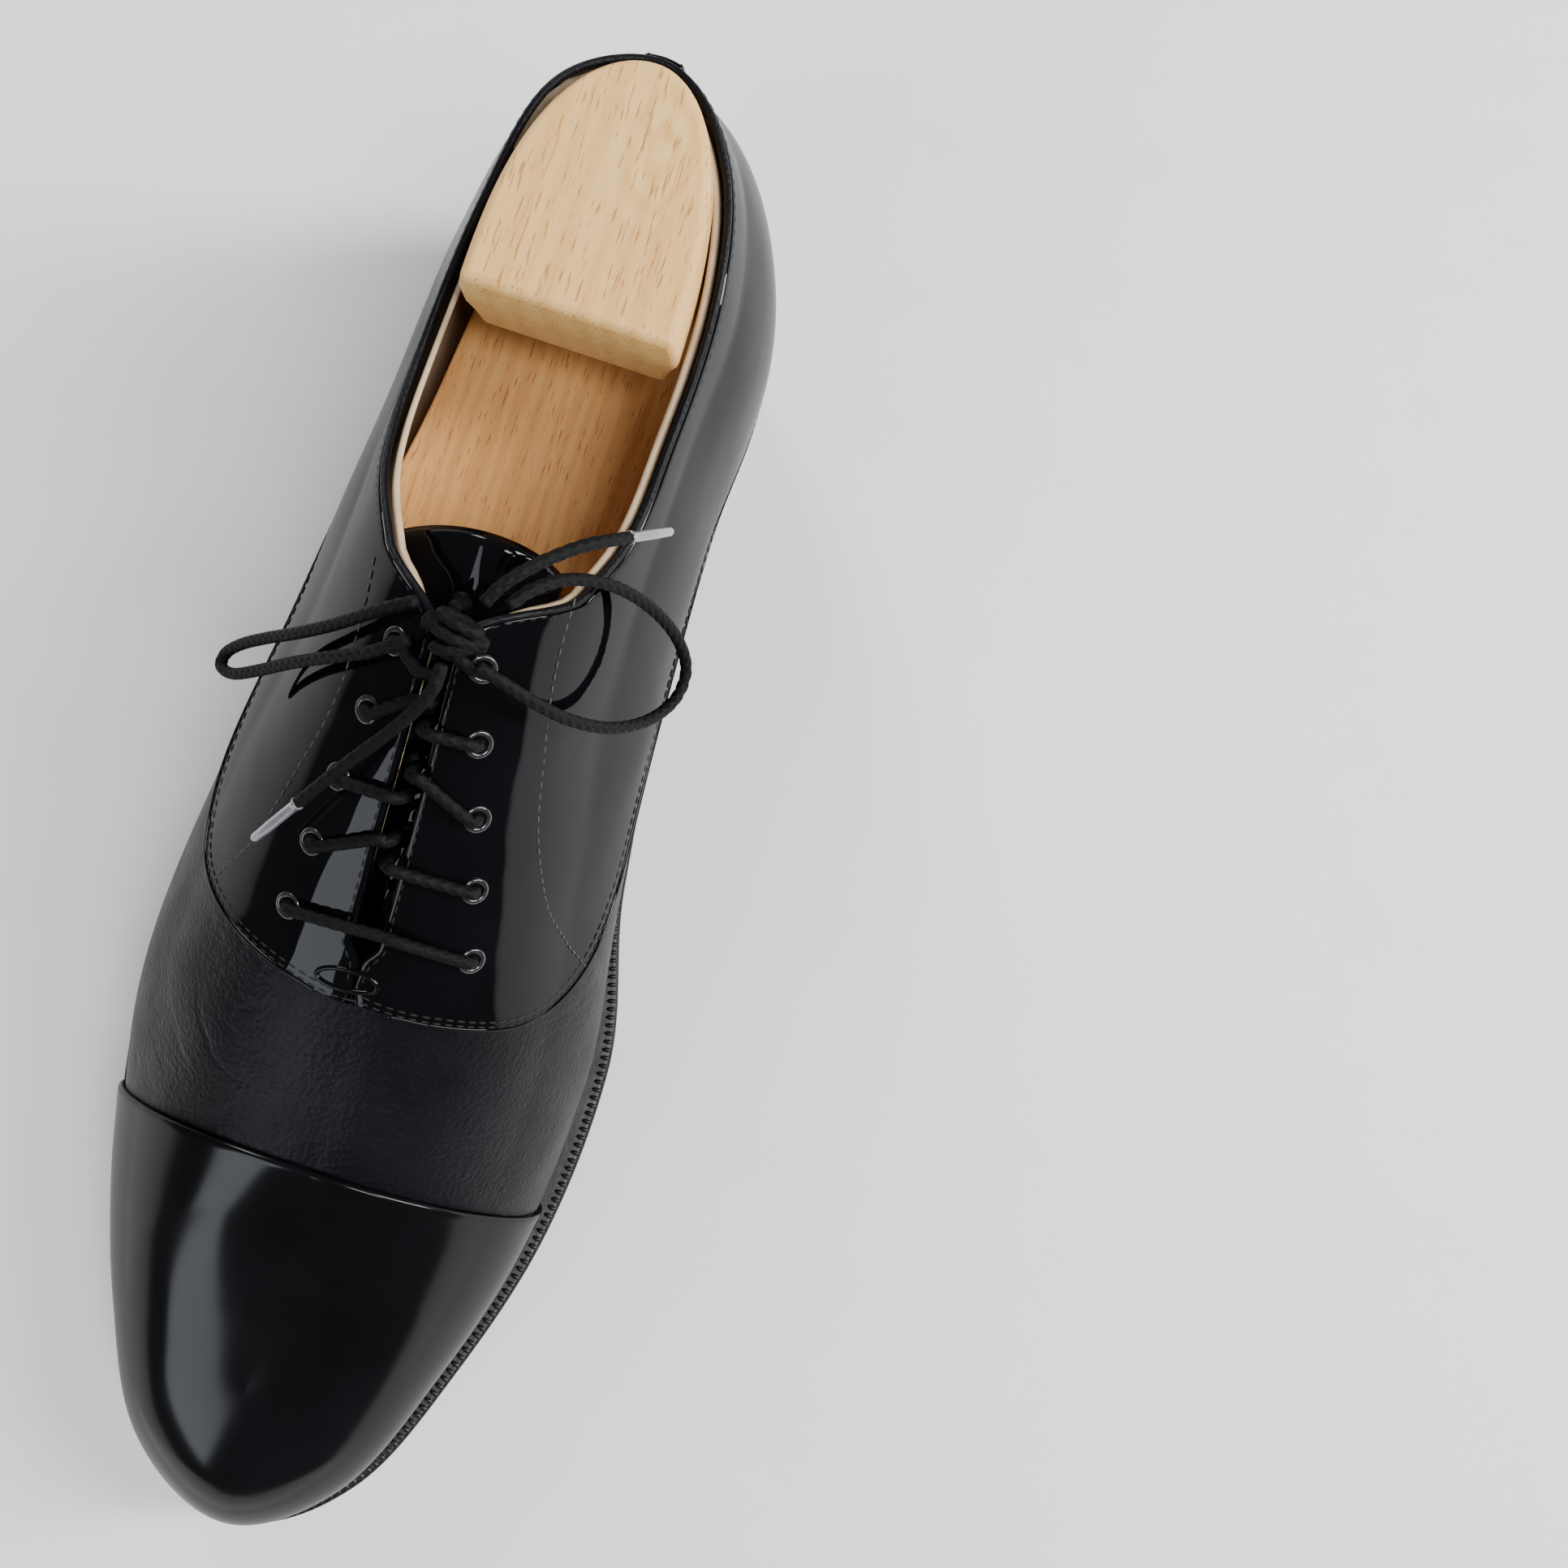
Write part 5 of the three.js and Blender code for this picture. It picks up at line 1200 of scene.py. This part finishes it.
# the frame's own nodes that stay get their materials
kept = {
    "heel_tap": tapMetal, "toe_tap": tapMetal, "ball_pad": rubberBlack, "cork_filler": corkFill,
    "shank": screwSteel, "insole": fibreBoard, "sock_liner": liningTan, "toe_puff": fibreBoard,
    "facing_stay_medial": fibreBoard, "facing_stay_lateral": fibreBoard, "heel_counter": fibreBoard,
    "vamp_lining": liningTan, "hinge_leaf_block": screwSteel,
    "hinge_leaf_board": screwSteel, "hinge_pin": screwSteel,
}
for name in nodes:
    if "_tap_screw_" in name:
        kept[name] = screwSteel
for name, mat in kept.items():
    data = nodes[name].data
    data.materials.clear()
    data.materials.append(mat)

# floor and lights
floorSize = 3.0
mesh = bpy.data.meshes.new("floor")
mesh.from_pydata([(-floorSize, -floorSize, 0), (floorSize, -floorSize, 0), (floorSize, floorSize, 0),
                  (-floorSize, floorSize, 0)], [], [(0, 1, 2, 3)])
mesh.materials.append(plainMaterial("floorPaper", (0.86, 0.86, 0.86), (0.88, 0.88, 0.88), 0.7, 0.04, 60, 0.02))
floor = bpy.data.objects.new("floor", mesh)
bpy.context.scene.collection.objects.link(floor)

world = bpy.data.worlds.new("studio")
world.use_nodes = True
air = world.node_tree
low = air.nodes["Background"]  # what the leather mirrors
low.inputs["Color"].default_value = (0.92, 0.95, 1.0, 1)
low.inputs["Strength"].default_value = 0.16
backdrop = addNode(air, "ShaderNodeBackground", {"Color": (0.95, 0.96, 1.0, 1), "Strength": 1.6})
either = addNode(air, "ShaderNodeMixShader", {
    0: addNode(air, "ShaderNodeLightPath").outputs["Is Camera Ray"], 1: low.outputs[0],
    2: backdrop.outputs[0]})
air.links.new(either.outputs[0], air.nodes["World Output"].inputs["Surface"])
bpy.context.scene.world = world


def areaLight(name, place, target, wide, high, power, colour=(1, 1, 1)):
    data = bpy.data.lights.new(name, "AREA")
    data.shape = "RECTANGLE"
    data.size, data.size_y = wide, high
    data.energy = power
    data.color = colour
    obj = bpy.data.objects.new(name, data)
    obj.location = place
    obj.rotation_euler = (Vector(target) - Vector(place)).to_track_quat("-Z", "Y").to_euler()
    bpy.context.scene.collection.objects.link(obj)


areaLight("key", (-0.5, 1.25, 1.0), (0, 0, 0.05), 0.35, 1.1, 40)
areaLight("window", (1.12, -0.68, 0.92), (0.03, 0, 0.05), 0.6, 1.0, 9, (0.88, 0.93, 1.0))
areaLight("back", (-1.2, -0.9, 1.0), (-0.05, 0, 0.08), 0.35, 0.7, 16)
areaLight("top", (0.25, 0.6, 1.5), (0, 0, 0.05), 0.35, 0.6, 16)
